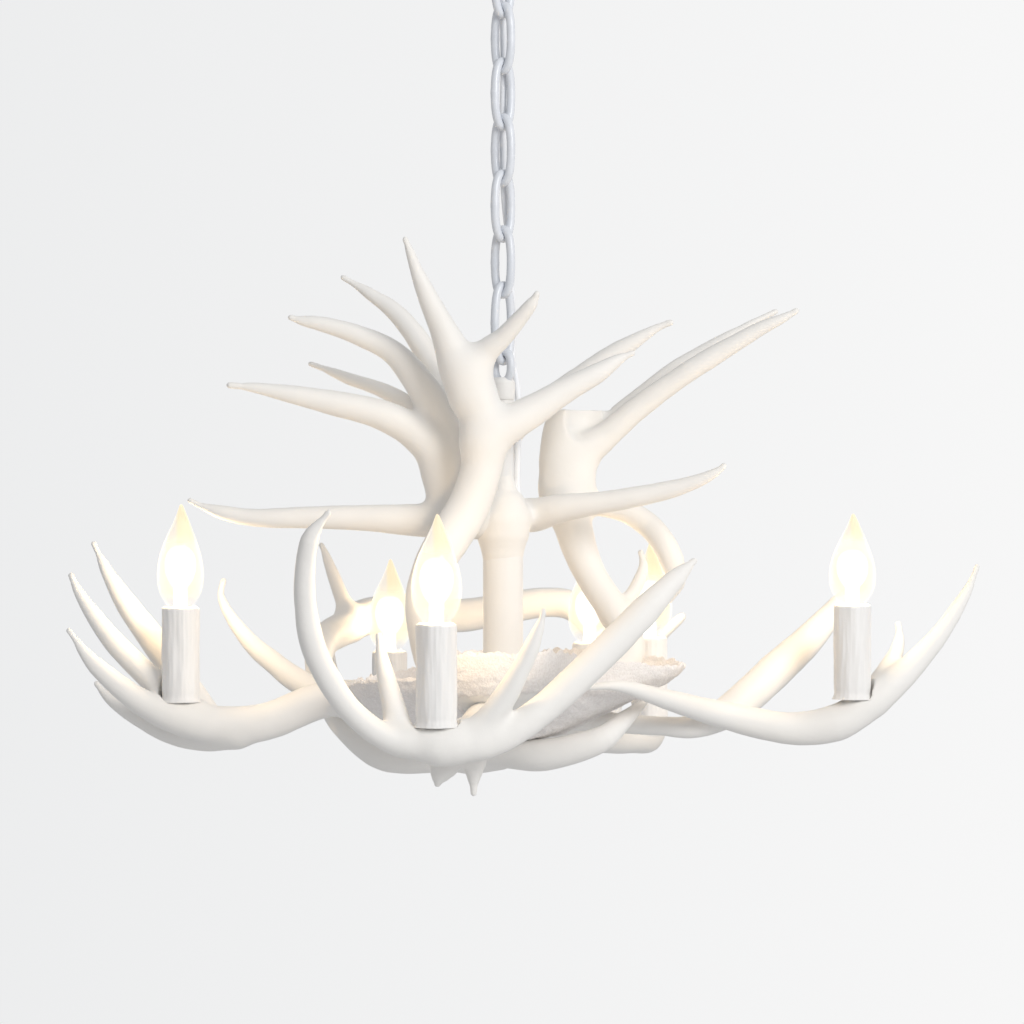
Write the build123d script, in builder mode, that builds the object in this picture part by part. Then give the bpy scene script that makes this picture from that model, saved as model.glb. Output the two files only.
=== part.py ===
"""Antler chandelier: six candle lights on cast resin antlers, hung on a welded chain.

Millimetres, +Z up. The origin is the middle of the ceiling plate, on the chain's axis, and
the ceiling is the plane Z = 0. +X is to the right and -Y towards the viewer, as the lamp is
usually seen. Cast and repeated pieces are faceted: their rings have few corners.
"""
from build123d import *
from math import cos, pi, radians, sin, tan
import os

# ------------------------------------------------------------------ driving dimensions
# ceiling fitting
CANOPY_RADIUS = 65.0
CANOPY_HEIGHT = 28.0
CANOPY_WALL = 1.5
CANOPY_SIDES = 32
CANOPY_RIM = 3.0              # upright edge against the ceiling
CANOPY_CURVE = [(0.93, 0.43), (0.79, 0.72), (0.58, 0.92)]    # shares of radius and height
CANOPY_HOLE = 19.0
CANOPY_DROP = 45.0            # how far the canopy slides down the chain for wiring
BOX_SCREW_PITCH = 88.9        # two screws of a ceiling box
BOX_SCREW_HOLE = 4.6
CROSSBAR_LENGTH = 104.0
CROSSBAR_WIDTH = 16.0
CROSSBAR_THICK = 2.5
NIPPLE_RADIUS = 5.0
NIPPLE_BORE = 3.4
NIPPLE_LENGTH = 27.0
NUT_ACROSS = 16.0
NUT_THICK = 4.0
COLLAR_RADIUS = 22.0
COLLAR_HEIGHT = 6.5
COLLAR_BODY_RADIUS = 16.0
COLLAR_BODY_HEIGHT = 17.5
NIPPLE_GRIP = 8.0             # thread of the nipple inside the loop's body
RUN_GAP = 0.3                 # clearance of parts that turn or slide in each other

# chain
WIRE_RADIUS = 3.2
LINK_HALF_WIDTH = 8.5         # chain axis to wire axis
LINK_PITCH = 42.0
END_LINK_PITCH = 50.0
LINK_COUNT = 6
LINK_PLAY = 0.5               # play between one link's wire and the next
LINK_TWIST = 45.0             # links stand at this angle to the viewer, left and right in turn
BEND_STEPS = 6
WIRE_SIDES = 8
CANOPY_LOOP_PITCH = 29.4
TOP_LOOP_PITCH = 22.0

# supply cord
CORD_RADIUS = 2.5
CORD_FACETS = 6
CORD_SEAT = 12.0              # how far it goes into the upper hub
CORD_SWING = 11.5             # from the chain's axis where the cord leaves the top loop's body
CORD_CROSSING = -0.5          # and where it passes through the first link
# its place beside each joint of the chain, from the second down, and half way to the next:
# behind the chain, then bearing off to the right
CORD_BEHIND = [(0, 10.5), (0.3, 9.9), (0.6, 10.3), (0.2, 9.9), (-0.3, 10.2), (0, 9.9),
               (0.2, 10.3), (1.5, 11), (4, 12.1), (5.8, 11.6), (6.6, 12.4), (7.2, 12.5),
               (6.6, 12)]

# stem, column and hubs
PIPE_RADIUS = 8.0
PIPE_BORE = 6.0
ROD_RADIUS = 4.0
BOSS_RADIUS = 9.0
BOSS_HEIGHT = 17.4
UPPER_HUB_RADIUS = 22.0
UPPER_HUB_HEIGHT = 34.0
COLUMN_RADIUS = 15.0
COLUMN_BORE = 12.0
COLUMN_LENGTH = 93.0
HUB_RADIUS = 40.0
HUB_HEIGHT = 54.0
HUB_WALL = 4.0
HUB_PLATE_THICK = 4.0
PIPE_LENGTH = 71.0
SCREW_RADIUS = 2.0
SCREW_SIDES = 6
SCREW_HEAD_RADIUS = 4.0
SCREW_HEAD_THICK = 2.5
SCREW_HEAD_ROOM = 0.6         # head to the hub's facets
SCREW_GRIP = 12.0

# dish round the hub
DISH_RADIUS = 123.0
DISH_WALL = 3.0
DISH_HEIGHT = 66.0            # rim above the hub's underside
DISH_FOOT = 46.0
DISH_FOOT_HEIGHT = 14.0
DISH_SIDES = 32
DISH_CURVE = [(0, 0), (0.26, 0.15), (0.60, 0.42), (0.86, 0.69), (1, 1)]    # foot to rim
DISH_LOW_SIDE = 11.0          # degrees that the worn rim drops on the left
DISH_WORN_FROM = -20.0        # where the drop starts, right of the rim's left end

# candle lights
SLEEVE_RADIUS = 14.5
SLEEVE_LENGTH = 72.0
SLEEVE_BORE = 12.4
SLEEVE_SIDES = 12
FOOT_RADIUS = 16.0
FOOT_HEIGHT = 5.0
SOCKET_RADIUS = 10.6
SOCKET_BORE = 6.25
SOCKET_DEPTH = 24.0
SOCKET_TOP_GAP = 6.0          # socket's mouth below the sleeve's top
SOCKET_FLANGE = 3.0
CAP_RADIUS = 5.95
GLASS_RADIUS = 17.5
GLASS_HEIGHT = 78.0           # glass above the sleeve
GLASS_WALL = 1.0
ROUND_SIDES = 12              # corners of small round pieces and bores
BROAD_SIDES = 24              # and of the hubs and other broad ones

# antlers
ANTLER_SIDES = 8
RINGS_PER_POINT = 0.85

# ------------------------------------------------------------------ heights, top to bottom
LINK_STEP = 2 * WIRE_RADIUS + LINK_PLAY
COLLAR_BODY_TOP = -(NIPPLE_LENGTH - NIPPLE_GRIP)
CANOPY_LOOP_TOP = COLLAR_BODY_TOP - COLLAR_BODY_HEIGHT + WIRE_RADIUS
CHAIN_START = CANOPY_LOOP_TOP - CANOPY_LOOP_PITCH
CHAIN_END = CHAIN_START - LINK_COUNT * LINK_PITCH - END_LINK_PITCH
TOP_LOOP_Z = CHAIN_END + LINK_STEP
BOSS_TOP = TOP_LOOP_Z - TOP_LOOP_PITCH + WIRE_RADIUS
PIPE_TOP = BOSS_TOP - BOSS_HEIGHT
UPPER_HUB_TOP = PIPE_TOP - PIPE_LENGTH
COLUMN_TOP = UPPER_HUB_TOP - UPPER_HUB_HEIGHT
HUB_TOP = COLUMN_TOP - COLUMN_LENGTH
HUB_Z = HUB_TOP - HUB_HEIGHT      # underside of the lower hub, where antler heights start

# Each run of an antler is a list of (x, y, height, radius) down its middle, root to tip. The
# crown's left and rear antlers are measured from the underside of the upper hub.
LOWER_ANTLERS = {
    "front_antler": [
        [(-43, -200, 9, 13), (-73, -205, 12, 9.5), (-98, -212, 28, 8.5), (-117, -220, 54, 8.5),
         (-129, -226, 82, 8.5), (-133, -234, 116, 7.5), (-129, -244, 149, 6),
         (-116, -250, 168, 1.5)],
        [(-43, -200, 9, 13), (-8, -197, 11, 11), (26, -190, 31, 10.5), (61, -178, 62, 11),
         (96, -163, 96, 10.5), (121, -150, 121, 7.5), (135, -143, 134, 1.5)],
        [(-70, -196, 13, 10.5), (-75, -190, 35, 8), (-81, -186, 58, 6), (-84, -184, 73, 3.5),
         (-85, -183, 83, 1)],
        [(-32, -198, 11, 10.5), (-12, -200, 24, 9), (5, -204, 47, 8), (19, -208, 74, 6),
         (27, -211, 95, 2.5), (28, -212, 101, 1)],
        [(-34, -198, 11, 11.5), (-19, -140, 16, 12.5), (-11, -80, 21, 14), (-4, -20, 20, 14)],
        [(-30, -168, 9, 9), (-40, -168, -9, 5.5), (-45, -168, -23, 1)],
        [(-19, -160, 4, 9), (-20, -160, -17, 4.5), (-20, -160, -31, 1)],
    ],
    "left_antler": [
        [(-2, 0, 20, 13.5), (-77, 3, 24, 14), (-130, 5, 28, 13.5), (-181, 4, 10, 14),
         (-224, 0, 10, 14), (-247, -4, 16, 13), (-273, -8, 28, 10), (-303, -13, 53, 6.5),
         (-323, -18, 80, 1.5)],
        [(-235, 5, 18, 12), (-268, 15, 45, 9.5), (-290, 20, 65, 8.5), (-309, 25, 88, 6.5),
         (-323, 28, 109, 3.5), (-328, 30, 120, 1)],
        [(-226, 24, 14, 12), (-246, 38, 40, 11.5), (-267, 42, 70, 10.5), (-287, 46, 96, 9),
         (-303, 50, 122, 5), (-314, 52, 144, 1)],
        [(-202, 8, 3, 13), (-229, 16, -2, 10), (-256, 22, 3, 8.5), (-283, 26, 17, 7),
         (-300, 28, 28, 4), (-309, 30, 38, 1)],
        [(-119, 18, 22, 10), (-155, 35, 39, 9.5), (-174, 45, 52, 8.5), (-194, 54, 68, 7),
         (-210, 62, 88, 5), (-218, 67, 104, 3), (-216, 70, 115, 1)],
    ],
    "right_antler": [
        [(59, -92, 42, 1), (85, -80, 42, 4), (119, -45, 31, 7.5), (162, -4, 17, 10),
         (212, 2, 6, 12), (249, 0, 10, 14), (277, 0, 27, 12.5), (302, 6, 47, 10),
         (329, 12, 76, 7), (350, 18, 107, 4), (359, 21, 127, 1)],
        [(278, 10, 27, 11.5), (289, 18, 45, 8.5), (298, 24, 62, 5.5), (301, 27, 73, 3.5),
         (300, 28, 83, 1)],
    ],
    "right_rear_antler": [
        [(13, 2, 17, 10), (73, 2, 11, 8), (114, 3, 8, 7), (144, 8, 7, 9), (176, 24, 21, 13),
         (208, 50, 46, 14), (236, 75, 69, 12), (262, 98, 95, 8.5), (276, 110, 111, 2.5)],
    ],
    "under_antler": [
        [(-2, 0, -12, 13), (-40, 4, -14, 13), (-84, 10, -15, 13), (-110, 25, -2, 12),
         (-129, 50, 18, 11), (-144, 95, 45, 10.5), (-143, 150, 65, 12.5),
         (-129, 200, 74, 14), (-109, 237, 83, 15.5), (-70, 260, 85, 15), (-33, 268, 82, 14),
         (34, 262, 93, 12.5), (63, 250, 86, 12), (78, 235, 62, 8.5), (84, 225, 40, 2.5)],
        [(-25, 2, -13, 13), (2, -18, -10, 12.5), (31, -35, -11, 12), (70, -45, 0, 10),
         (90, -35, 15, 6.5), (108, -25, 30, 1.5)],
        [(-124, 205, 76, 10), (-132, 212, 96, 6.5), (-141, 218, 119, 5), (-147, 221, 135, 3),
         (-150, 222, 141, 1)],
    ],
    "back_left_antler": [
        [(-4, 20, 16, 13), (-28, 100, -12, 12.5), (-62, 160, -26, 12), (-93, 200, -27, 12),
         (-122, 250, -14, 9), (-140, 290, 18, 5), (-147, 310, 54, 1.5)],
        [(-86, 196, -26, 11), (-66, 250, -22, 8), (-52, 288, 4, 5), (-46, 302, 30, 1)],
    ],
    "back_right_antler": [
        [(8, 18, 16, 13), (38, 100, -14, 12), (58, 155, -19, 11.5), (70, 200, -19.5, 11.5),
         (86, 255, -10, 9), (97, 295, 22, 5), (101, 312, 54, 1.5)],
    ],
    "side_rear_antler": [
        [(18, 13, 14, 11), (70, 56, -5, 10.5), (100, 80, -9, 10), (114, 92, -9, 10),
         (129, 108, -3, 8), (137, 119, 10, 6.5), (136, 121, 36, 5.5), (138, 119, 66, 4),
         (141, 116, 85, 1)],
    ],
    "crown_right_antler": [
        [(32, 8, 40, 10.5), (66, 22, 39, 10.5), (93, 34, 54, 11), (95, 40, 74, 11.5),
         (83, 43, 95, 12), (68, 47, 118, 12), (58, 52, 141, 13.5), (52, 56, 164, 15),
         (48, 60, 185, 17.5)],
        [(48, 58, 177, 18.5), (46, 62, 208, 18.5), (49, 66, 232, 17.5), (57, 72, 248, 20)],
        [(50, 60, 185, 18.5), (61, 60, 212, 14), (79, 60, 227, 10.5), (102, 58, 247, 9),
         (129, 55, 267, 8.5), (157, 52, 285, 8), (194, 47, 307, 5.5), (215, 44, 317, 3.5),
         (224, 43, 322, 1)],
        [(56, 75, 201, 14), (79, 80, 232, 9.5), (106, 84, 257, 7.5), (138, 88, 282, 6.5),
         (171, 92, 302, 5), (197, 95, 317, 3), (213, 97, 325, 1)],
        [(83, 48, 89, 7.5), (97, 56, 102, 6), (105, 62, 116, 5), (108, 66, 127, 3.5),
         (106, 68, 137, 1)],
        [(53, 62, 185, 14.5), (75, 66, 182, 11.5), (94, 70, 174, 10.5), (110, 73, 161, 9.5),
         (122, 68, 147, 9.5), (130, 67, 131, 9.5), (133, 69, 114, 7.5), (129, 70, 100, 2)],
    ],
    "crown_front_antler": [
        [(-28, -20, 32, 10), (-50, -56, 52, 11), (-58, -78, 97, 13), (-51, -74, 128, 14),
         (-40, -62, 148, 15.5), (-26, -50, 170, 15.5), (-16, -45, 199, 15), (-14, -44, 225, 16),
         (-20, -44, 254, 16), (-27, -45, 273, 15.5)],
        [(-24, -44, 254, 16), (-34, -46, 280, 14), (-44, -50, 303, 10), (-54, -54, 324, 7.5),
         (-62, -58, 342, 5.5), (-68, -62, 359, 3.5), (-71, -64, 367, 1)],
        [(-24, -44, 271, 13), (-12, -50, 286, 9.5), (0, -56, 296, 7), (11, -62, 308, 6),
         (21, -68, 320, 4.5), (25, -71, 327, 1.5)],
        [(-15, -44, 221, 16), (3, -42, 232, 14.5), (22, -38, 243, 12), (46, -34, 258, 9.5),
         (70, -30, 271, 7.5), (87, -27, 282, 4), (96, -26, 286, 1)],
    ],
}
UPPER_ANTLERS = {
    "crown_left_antler": [
        [(-38, 0, 21, 16.5), (-45, -4, 47, 15.5), (-53, -8, 68, 14), (-71, -12, 84, 12.5),
         (-95, -17, 95, 11), (-125, -22, 102, 9.5), (-154, -27, 108, 7), (-183, -31, 113, 4),
         (-202, -34, 115, 1)],
        [(-8, -2, 17, 16.5), (-58, -6, 15, 12.5), (-108, -9, 17, 9.5), (-151, -12, 17, 8),
         (-185, -15, 17, 6.5), (-209, -17, 21, 5), (-225, -18, 26, 2.5), (-233, -19, 30, 1)],
        [(-40, 8, 57, 13.5), (-42, 12, 91, 12), (-50, 18, 125, 10), (-64, 24, 151, 8.5),
         (-81, 30, 172, 7), (-101, 34, 187, 5), (-122, 37, 200, 1)],
        [(-41, 2, 53, 16), (-45, 0, 79, 14), (-55, -3, 105, 12.5), (-67, -6, 124, 11),
         (-84, -9, 142, 9), (-107, -12, 153, 7.5), (-133, -15, 161, 6), (-151, -17, 164, 3.5),
         (-158, -18, 166, 1.5)],
        [(-42, 25, 53, 11.5), (-54, 32, 82, 9), (-73, 40, 103, 7), (-94, 46, 115, 5.5),
         (-117, 50, 123, 4.5), (-137, 53, 131, 2.5), (-148, 55, 135, 1)],
    ],
    "crown_rear_antler": [
        [(-4, 26, 20, 12), (22, 21, 19, 13), (44, 5, 24, 10.5), (85, -3, 30, 8),
         (121, -6, 37, 7), (147, -9, 45, 5), (162, -11, 53, 2.5), (165, -11, 56, 1)],
        [(-2, 22, 21, 13), (-5, 33, 59, 13), (4, 36, 82, 12), (24, 36, 99, 10.5),
         (49, 34, 116, 9.5), (75, 32, 135, 8.5), (98, 30, 150, 6), (117, 28, 161, 3),
         (127, 27, 165, 1)],
    ],
}

# Where the candles stand: antler, x, y, height of the seat above the hub's underside
LIGHTS = {
    "front": ("front_antler", -45, -200, 21),
    "left": ("left_antler", -242, 0, 26),
    "right": ("right_antler", 262, 0, 28),
    "back_left": ("back_left_antler", -93, 200, -16),
    "back_right": ("back_right_antler", 70, 200, -9),
    "side_rear": ("side_rear_antler", 114, 90, 0),
}

# Bearings, in degrees, and heights of the screws that hold the lower antlers to the hub
HUB_SCREWS = {
    "front_antler": (262, 20),
    "left_antler": (180, 21),
    "right_rear_antler": (3, 14),
    "back_left_antler": (104, 12),
    "back_right_antler": (67, 12),
    "side_rear_antler": (36, 9),
}

os.makedirs("parts", exist_ok=True)


def keep(piece, label):
    """Label a finished piece and write it to its own file."""
    piece.part.label = label
    export_step(piece.part, f"parts/{label}.step")


def spans_between(rings):
    """Flat-faced solid spans from each ring of corners to the next, still to be joined."""
    return [ConvexPolyhedron(near + far, mode=Mode.PRIVATE)
            for near, far in zip(rings, rings[1:])]


def level_rings(x, y, profile, sides):
    """Rings of corners in level planes, from a profile of (radius, z)."""
    turns = [2 * pi * n / sides for n in range(sides)]
    return [[(x + r * cos(t), y + r * sin(t), z) for t in turns] for r, z in profile]


def radius_at(run, share):
    """Radius of an antler's run at a share, 0 to 1, of the way along its points."""
    place = share * (len(run) - 1)
    step = min(int(place), len(run) - 2)
    return run[step][3] + (place - step) * (run[step + 1][3] - run[step][3])


def antler_run(run, datum):
    """The spans of one tapering run of an antler, from its middle line and radii."""
    with BuildLine(mode=Mode.PRIVATE):
        middle = Spline(*[(x, y, datum + height) for x, y, height, _ in run])
    count = int(len(run) * RINGS_PER_POINT) + 1
    side = Vector(0, 0, 1).cross(middle % 0)
    if side.length < 0.2:
        side = Vector(1, 0, 0)
    rings = []
    for n in range(count):
        share = n / (count - 1)
        ahead = middle % share
        side = (side - ahead * side.dot(ahead)).normalized()
        face = Plane(origin=middle @ share, x_dir=side, z_dir=ahead)
        radius = radius_at(run, share)
        turns = [2 * pi * corner / ANTLER_SIDES for corner in range(ANTLER_SIDES)]
        rings.append([tuple(face.from_local_coords((radius * cos(t), radius * sin(t), 0)))
                      for t in turns])
    return spans_between(rings)


def loop_of_wire(top, pitch, twist):
    """Add a closed link whose end wires are a pitch apart, hanging down from its top wire."""
    bend = [180 * n / BEND_STEPS for n in range(BEND_STEPS + 1)]
    upper = [(LINK_HALF_WIDTH * cos(radians(a)), top - LINK_HALF_WIDTH * (1 - sin(radians(a))))
             for a in bend]
    low = top - pitch + LINK_HALF_WIDTH
    lower = [(-LINK_HALF_WIDTH * cos(radians(a)), low - LINK_HALF_WIDTH * sin(radians(a)))
             for a in bend]
    level = Plane.XY.rotated((0, 0, twist))
    with BuildLine(Plane(origin=(0, 0, 0), x_dir=level.x_dir, z_dir=-level.y_dir)) as course:
        Polyline(*upper, *lower, close=True)
    straight = course.edges().sort_by(Edge.length)[-1]
    with BuildSketch(Plane(origin=straight @ 0.5, z_dir=straight % 0.5)) as wire:
        RegularPolygon(WIRE_RADIUS, WIRE_SIDES)
    sweep(wire.sketch, path=course.wires()[0], transition=Transition.RIGHT)


# ------------------------------------------------------------------ ceiling fitting
with BuildPart() as crossbar:
    with BuildSketch(Plane.XY.offset(-CROSSBAR_THICK)):
        bar = Rectangle(CROSSBAR_LENGTH, CROSSBAR_WIDTH)
        chamfer(bar.vertices(), CROSSBAR_WIDTH / 4)
        with Locations((-BOX_SCREW_PITCH / 2, 0), (BOX_SCREW_PITCH / 2, 0)):
            Circle(BOX_SCREW_HOLE / 2, mode=Mode.SUBTRACT)
        RegularPolygon(NIPPLE_RADIUS, ROUND_SIDES, mode=Mode.SUBTRACT)
    extrude(amount=CROSSBAR_THICK)
keep(crossbar, "crossbar")

with BuildPart() as threaded_nipple:
    with BuildSketch(Plane.XY.offset(-NIPPLE_LENGTH)):
        RegularPolygon(NIPPLE_RADIUS, ROUND_SIDES)
        RegularPolygon(NIPPLE_BORE, ROUND_SIDES, mode=Mode.SUBTRACT)
    extrude(amount=NIPPLE_LENGTH)
keep(threaded_nipple, "threaded_nipple")

with BuildPart() as lock_nut:
    with BuildSketch(Plane.XY.offset(-CROSSBAR_THICK - NUT_THICK)):
        RegularPolygon(NUT_ACROSS / 2, 6, major_radius=False)
        RegularPolygon(NIPPLE_RADIUS, ROUND_SIDES, mode=Mode.SUBTRACT)
    extrude(amount=NUT_THICK)
keep(lock_nut, "lock_nut")

dome = [(CANOPY_RADIUS, 0), (CANOPY_RADIUS, -CANOPY_RIM)]
dome += [(across * CANOPY_RADIUS, -down * CANOPY_HEIGHT) for across, down in CANOPY_CURVE]
dome += [(CANOPY_HOLE, -CANOPY_HEIGHT)]
hollow = [(radius - CANOPY_WALL, z + CANOPY_WALL) for radius, z in dome]
with BuildPart() as canopy:
    add(spans_between(level_rings(0, 0, dome, CANOPY_SIDES)))
    add(spans_between(level_rings(0, 0, hollow, CANOPY_SIDES)), mode=Mode.SUBTRACT)
    with BuildSketch(Plane.XY.offset(-CANOPY_HEIGHT)):
        RegularPolygon(CANOPY_HOLE, CANOPY_SIDES)
    extrude(amount=2 * CANOPY_WALL, mode=Mode.SUBTRACT)
keep(canopy, "canopy")

COLLAR_TOP = -CANOPY_HEIGHT
with BuildPart() as collar_ring:
    with BuildSketch(Plane.XY.offset(COLLAR_TOP - COLLAR_HEIGHT)):
        RegularPolygon(COLLAR_RADIUS, BROAD_SIDES)
        RegularPolygon(COLLAR_BODY_RADIUS + RUN_GAP, BROAD_SIDES, mode=Mode.SUBTRACT)
    extrude(amount=COLLAR_HEIGHT)
keep(collar_ring, "collar_ring")

CORD_EXIT = (CORD_SWING, 0)
CORD_HOLE_RADIUS = CORD_RADIUS + RUN_GAP
with BuildPart() as canopy_loop:
    with BuildSketch(Plane.XY.offset(COLLAR_BODY_TOP - COLLAR_BODY_HEIGHT)):
        RegularPolygon(COLLAR_BODY_RADIUS, BROAD_SIDES)
        with Locations(CORD_EXIT):
            RegularPolygon(CORD_HOLE_RADIUS, ROUND_SIDES, mode=Mode.SUBTRACT)
    extrude(amount=COLLAR_BODY_HEIGHT)
    with BuildSketch(Plane.XY.offset(-NIPPLE_LENGTH)):
        RegularPolygon(NIPPLE_RADIUS, ROUND_SIDES)
    extrude(amount=NIPPLE_GRIP, mode=Mode.SUBTRACT)
    loop_of_wire(CANOPY_LOOP_TOP, CANOPY_LOOP_PITCH, -LINK_TWIST)
keep(canopy_loop, "canopy_loop")

# ------------------------------------------------------------------ chain
link_bottom = CANOPY_LOOP_TOP - CANOPY_LOOP_PITCH
joint_heights = [link_bottom]
for number in range(1, LINK_COUNT + 2):
    last = number > LINK_COUNT
    pitch = (END_LINK_PITCH if last else LINK_PITCH) + LINK_STEP
    with BuildPart() as link:
        loop_of_wire(link_bottom + LINK_STEP, pitch, LINK_TWIST if number % 2 else -LINK_TWIST)
    keep(link, "end_link" if last else f"chain_link_{number}")
    link_bottom += LINK_STEP - pitch
    joint_heights.append(link_bottom)

# ------------------------------------------------------------------ supply cord
# Threaded through the first link, then down behind the chain, where it bears off to the right
# and comes round beside the stem.
HUB_CORD_X = PIPE_RADIUS + CORD_RADIUS + RUN_GAP
JOINT_MIDDLE = LINK_STEP / 2
cord_points = [
    (*CORD_EXIT, COLLAR_BODY_TOP + 2),
    (CORD_SWING, 0.2, COLLAR_BODY_TOP - COLLAR_BODY_HEIGHT - 1.5),
    (CORD_SWING, 0, joint_heights[0] + JOINT_MIDDLE),
    (CORD_CROSSING, CORD_CROSSING, (joint_heights[0] + joint_heights[1]) / 2 + JOINT_MIDDLE),
]
for number, (x, y) in enumerate(CORD_BEHIND):
    above, below = joint_heights[number // 2 + 1], joint_heights[(number + 1) // 2 + 1]
    cord_points.append((x, y, (above + below) / 2 + JOINT_MIDDLE))
cord_points += [
    (10, 8.6, BOSS_TOP - 2),
    (12.2, 3.2, BOSS_TOP - 18),
    (HUB_CORD_X + 0.6, 0.4, PIPE_TOP - 20),
    (HUB_CORD_X, 0, UPPER_HUB_TOP + 28),
    (HUB_CORD_X, 0, UPPER_HUB_TOP - CORD_SEAT),
]
corners = [Vector(*point) for point in cord_points]
radii = []
for before, corner, after in zip(corners, corners[1:], corners[2:]):
    turn = (corner - before).get_angle(after - corner)
    shorter = min((corner - before).length, (after - corner).length)
    radii.append(0.45 * shorter / tan(radians(turn / 2)))
with BuildPart() as power_cord:
    with BuildLine() as route:
        FilletPolyline(*cord_points, radius=radii)
    with BuildSketch(Plane(origin=route.line @ 0, z_dir=route.line % 0)):
        RegularPolygon(CORD_RADIUS, CORD_FACETS)
    sweep()
print("cord length", round(sum(edge.length for edge in route.edges())), "radii",
      [round(r) for r in radii], "volume", round(power_cord.part.volume))
keep(power_cord, "power_cord")

# ------------------------------------------------------------------ stem and upper hub
with BuildPart() as top_loop:
    loop_of_wire(TOP_LOOP_Z, TOP_LOOP_PITCH, LINK_TWIST if LINK_COUNT % 2 else -LINK_TWIST)
    with BuildSketch(Plane.XY.offset(PIPE_TOP)):
        RegularPolygon(BOSS_RADIUS, ROUND_SIDES)
    extrude(amount=BOSS_HEIGHT)
    with BuildSketch(Plane.XY.offset(PIPE_TOP)):
        RegularPolygon(ROD_RADIUS, ROUND_SIDES)
    extrude(amount=BOSS_HEIGHT / 2, mode=Mode.SUBTRACT)
keep(top_loop, "top_loop")

with BuildPart() as centre_pipe:
    with BuildSketch(Plane.XY.offset(UPPER_HUB_TOP)):
        RegularPolygon(PIPE_RADIUS, ROUND_SIDES, major_radius=False)
        RegularPolygon(PIPE_BORE, ROUND_SIDES, mode=Mode.SUBTRACT)
    extrude(amount=PIPE_LENGTH)
keep(centre_pipe, "centre_pipe")

with BuildPart() as upper_hub:
    with BuildSketch(Plane.XY.offset(COLUMN_TOP)):
        RegularPolygon(UPPER_HUB_RADIUS, BROAD_SIDES)
        RegularPolygon(ROD_RADIUS, ROUND_SIDES, mode=Mode.SUBTRACT)
    extrude(amount=UPPER_HUB_HEIGHT)
    with BuildSketch(Plane.XY.offset(UPPER_HUB_TOP - CORD_SEAT)):
        with Locations((HUB_CORD_X, 0)):
            RegularPolygon(CORD_HOLE_RADIUS, ROUND_SIDES)
    extrude(amount=CORD_SEAT, mode=Mode.SUBTRACT)
keep(upper_hub, "upper_hub")

with BuildPart() as centre_column:
    with BuildSketch(Plane.XY.offset(HUB_TOP)):
        RegularPolygon(COLUMN_RADIUS, BROAD_SIDES, major_radius=False)
        RegularPolygon(COLUMN_BORE, BROAD_SIDES, mode=Mode.SUBTRACT)
    extrude(amount=COLUMN_LENGTH)
keep(centre_column, "centre_column")

# ------------------------------------------------------------------ lower hub
def radial_hole(bearing, height, radius, inner, outer):
    """Take a screw's hole, square to the hub's wall, out of the piece in hand."""
    turn = radians(bearing)
    outward = (cos(turn), sin(turn), 0)
    start = (inner * cos(turn), inner * sin(turn), HUB_Z + height)
    with BuildSketch(Plane(origin=start, z_dir=outward)) as hole:
        RegularPolygon(radius, SCREW_SIDES)
    extrude(hole.sketch, amount=outer - inner, mode=Mode.SUBTRACT)


HUB_BORE = HUB_RADIUS - HUB_WALL
with BuildPart() as hub_cup:
    with BuildSketch(Plane.XY.offset(HUB_Z + HUB_PLATE_THICK)):
        RegularPolygon(HUB_RADIUS, BROAD_SIDES)
    extrude(amount=HUB_HEIGHT - HUB_PLATE_THICK)
    with BuildSketch(Plane.XY.offset(HUB_Z + HUB_PLATE_THICK)):
        RegularPolygon(HUB_BORE, BROAD_SIDES)
    extrude(amount=HUB_HEIGHT - HUB_PLATE_THICK - HUB_WALL, mode=Mode.SUBTRACT)
    with BuildSketch(Plane.XY.offset(HUB_TOP - HUB_WALL)):
        RegularPolygon(ROD_RADIUS, ROUND_SIDES)
    extrude(amount=HUB_WALL, mode=Mode.SUBTRACT)
    for bearing, height in HUB_SCREWS.values():
        radial_hole(bearing, height, SCREW_RADIUS, HUB_BORE - 1, HUB_RADIUS + 1)
keep(hub_cup, "hub_cup")

with BuildPart() as hub_plate:
    with BuildSketch(Plane.XY.offset(HUB_Z)):
        RegularPolygon(HUB_RADIUS, BROAD_SIDES)
        RegularPolygon(ROD_RADIUS, ROUND_SIDES, mode=Mode.SUBTRACT)
    extrude(amount=HUB_PLATE_THICK)
keep(hub_plate, "hub_plate")

with BuildPart() as threaded_rod:
    with BuildSketch(Plane.XY.offset(HUB_Z - NUT_THICK)):
        RegularPolygon(ROD_RADIUS, ROUND_SIDES)
    extrude(amount=PIPE_TOP + BOSS_HEIGHT / 2 - HUB_Z + NUT_THICK)
keep(threaded_rod, "threaded_rod")

with BuildPart() as hub_nuts:
    for foot in (HUB_Z - NUT_THICK, HUB_TOP - HUB_WALL - NUT_THICK):
        with BuildSketch(Plane.XY.offset(foot)):
            RegularPolygon(NUT_ACROSS / 2, 6, major_radius=False)
            RegularPolygon(ROD_RADIUS, ROUND_SIDES, mode=Mode.SUBTRACT)
        extrude(amount=NUT_THICK)
keep(hub_nuts, "hub_nuts")

with BuildPart() as antler_screws:
    for bearing, height in HUB_SCREWS.values():
        turn = radians(bearing)
        head = HUB_BORE - SCREW_HEAD_THICK
        start = Vector(head * cos(turn), head * sin(turn), HUB_Z + height)
        outward = Plane(origin=start, z_dir=(cos(turn), sin(turn), 0))
        with BuildSketch(outward):
            RegularPolygon(SCREW_HEAD_RADIUS, SCREW_SIDES)
        extrude(amount=SCREW_HEAD_THICK - SCREW_HEAD_ROOM)
        with BuildSketch(outward):
            RegularPolygon(SCREW_RADIUS, SCREW_SIDES)
        extrude(amount=SCREW_HEAD_THICK + HUB_WALL + SCREW_GRIP)
keep(antler_screws, "antler_screws")

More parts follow.
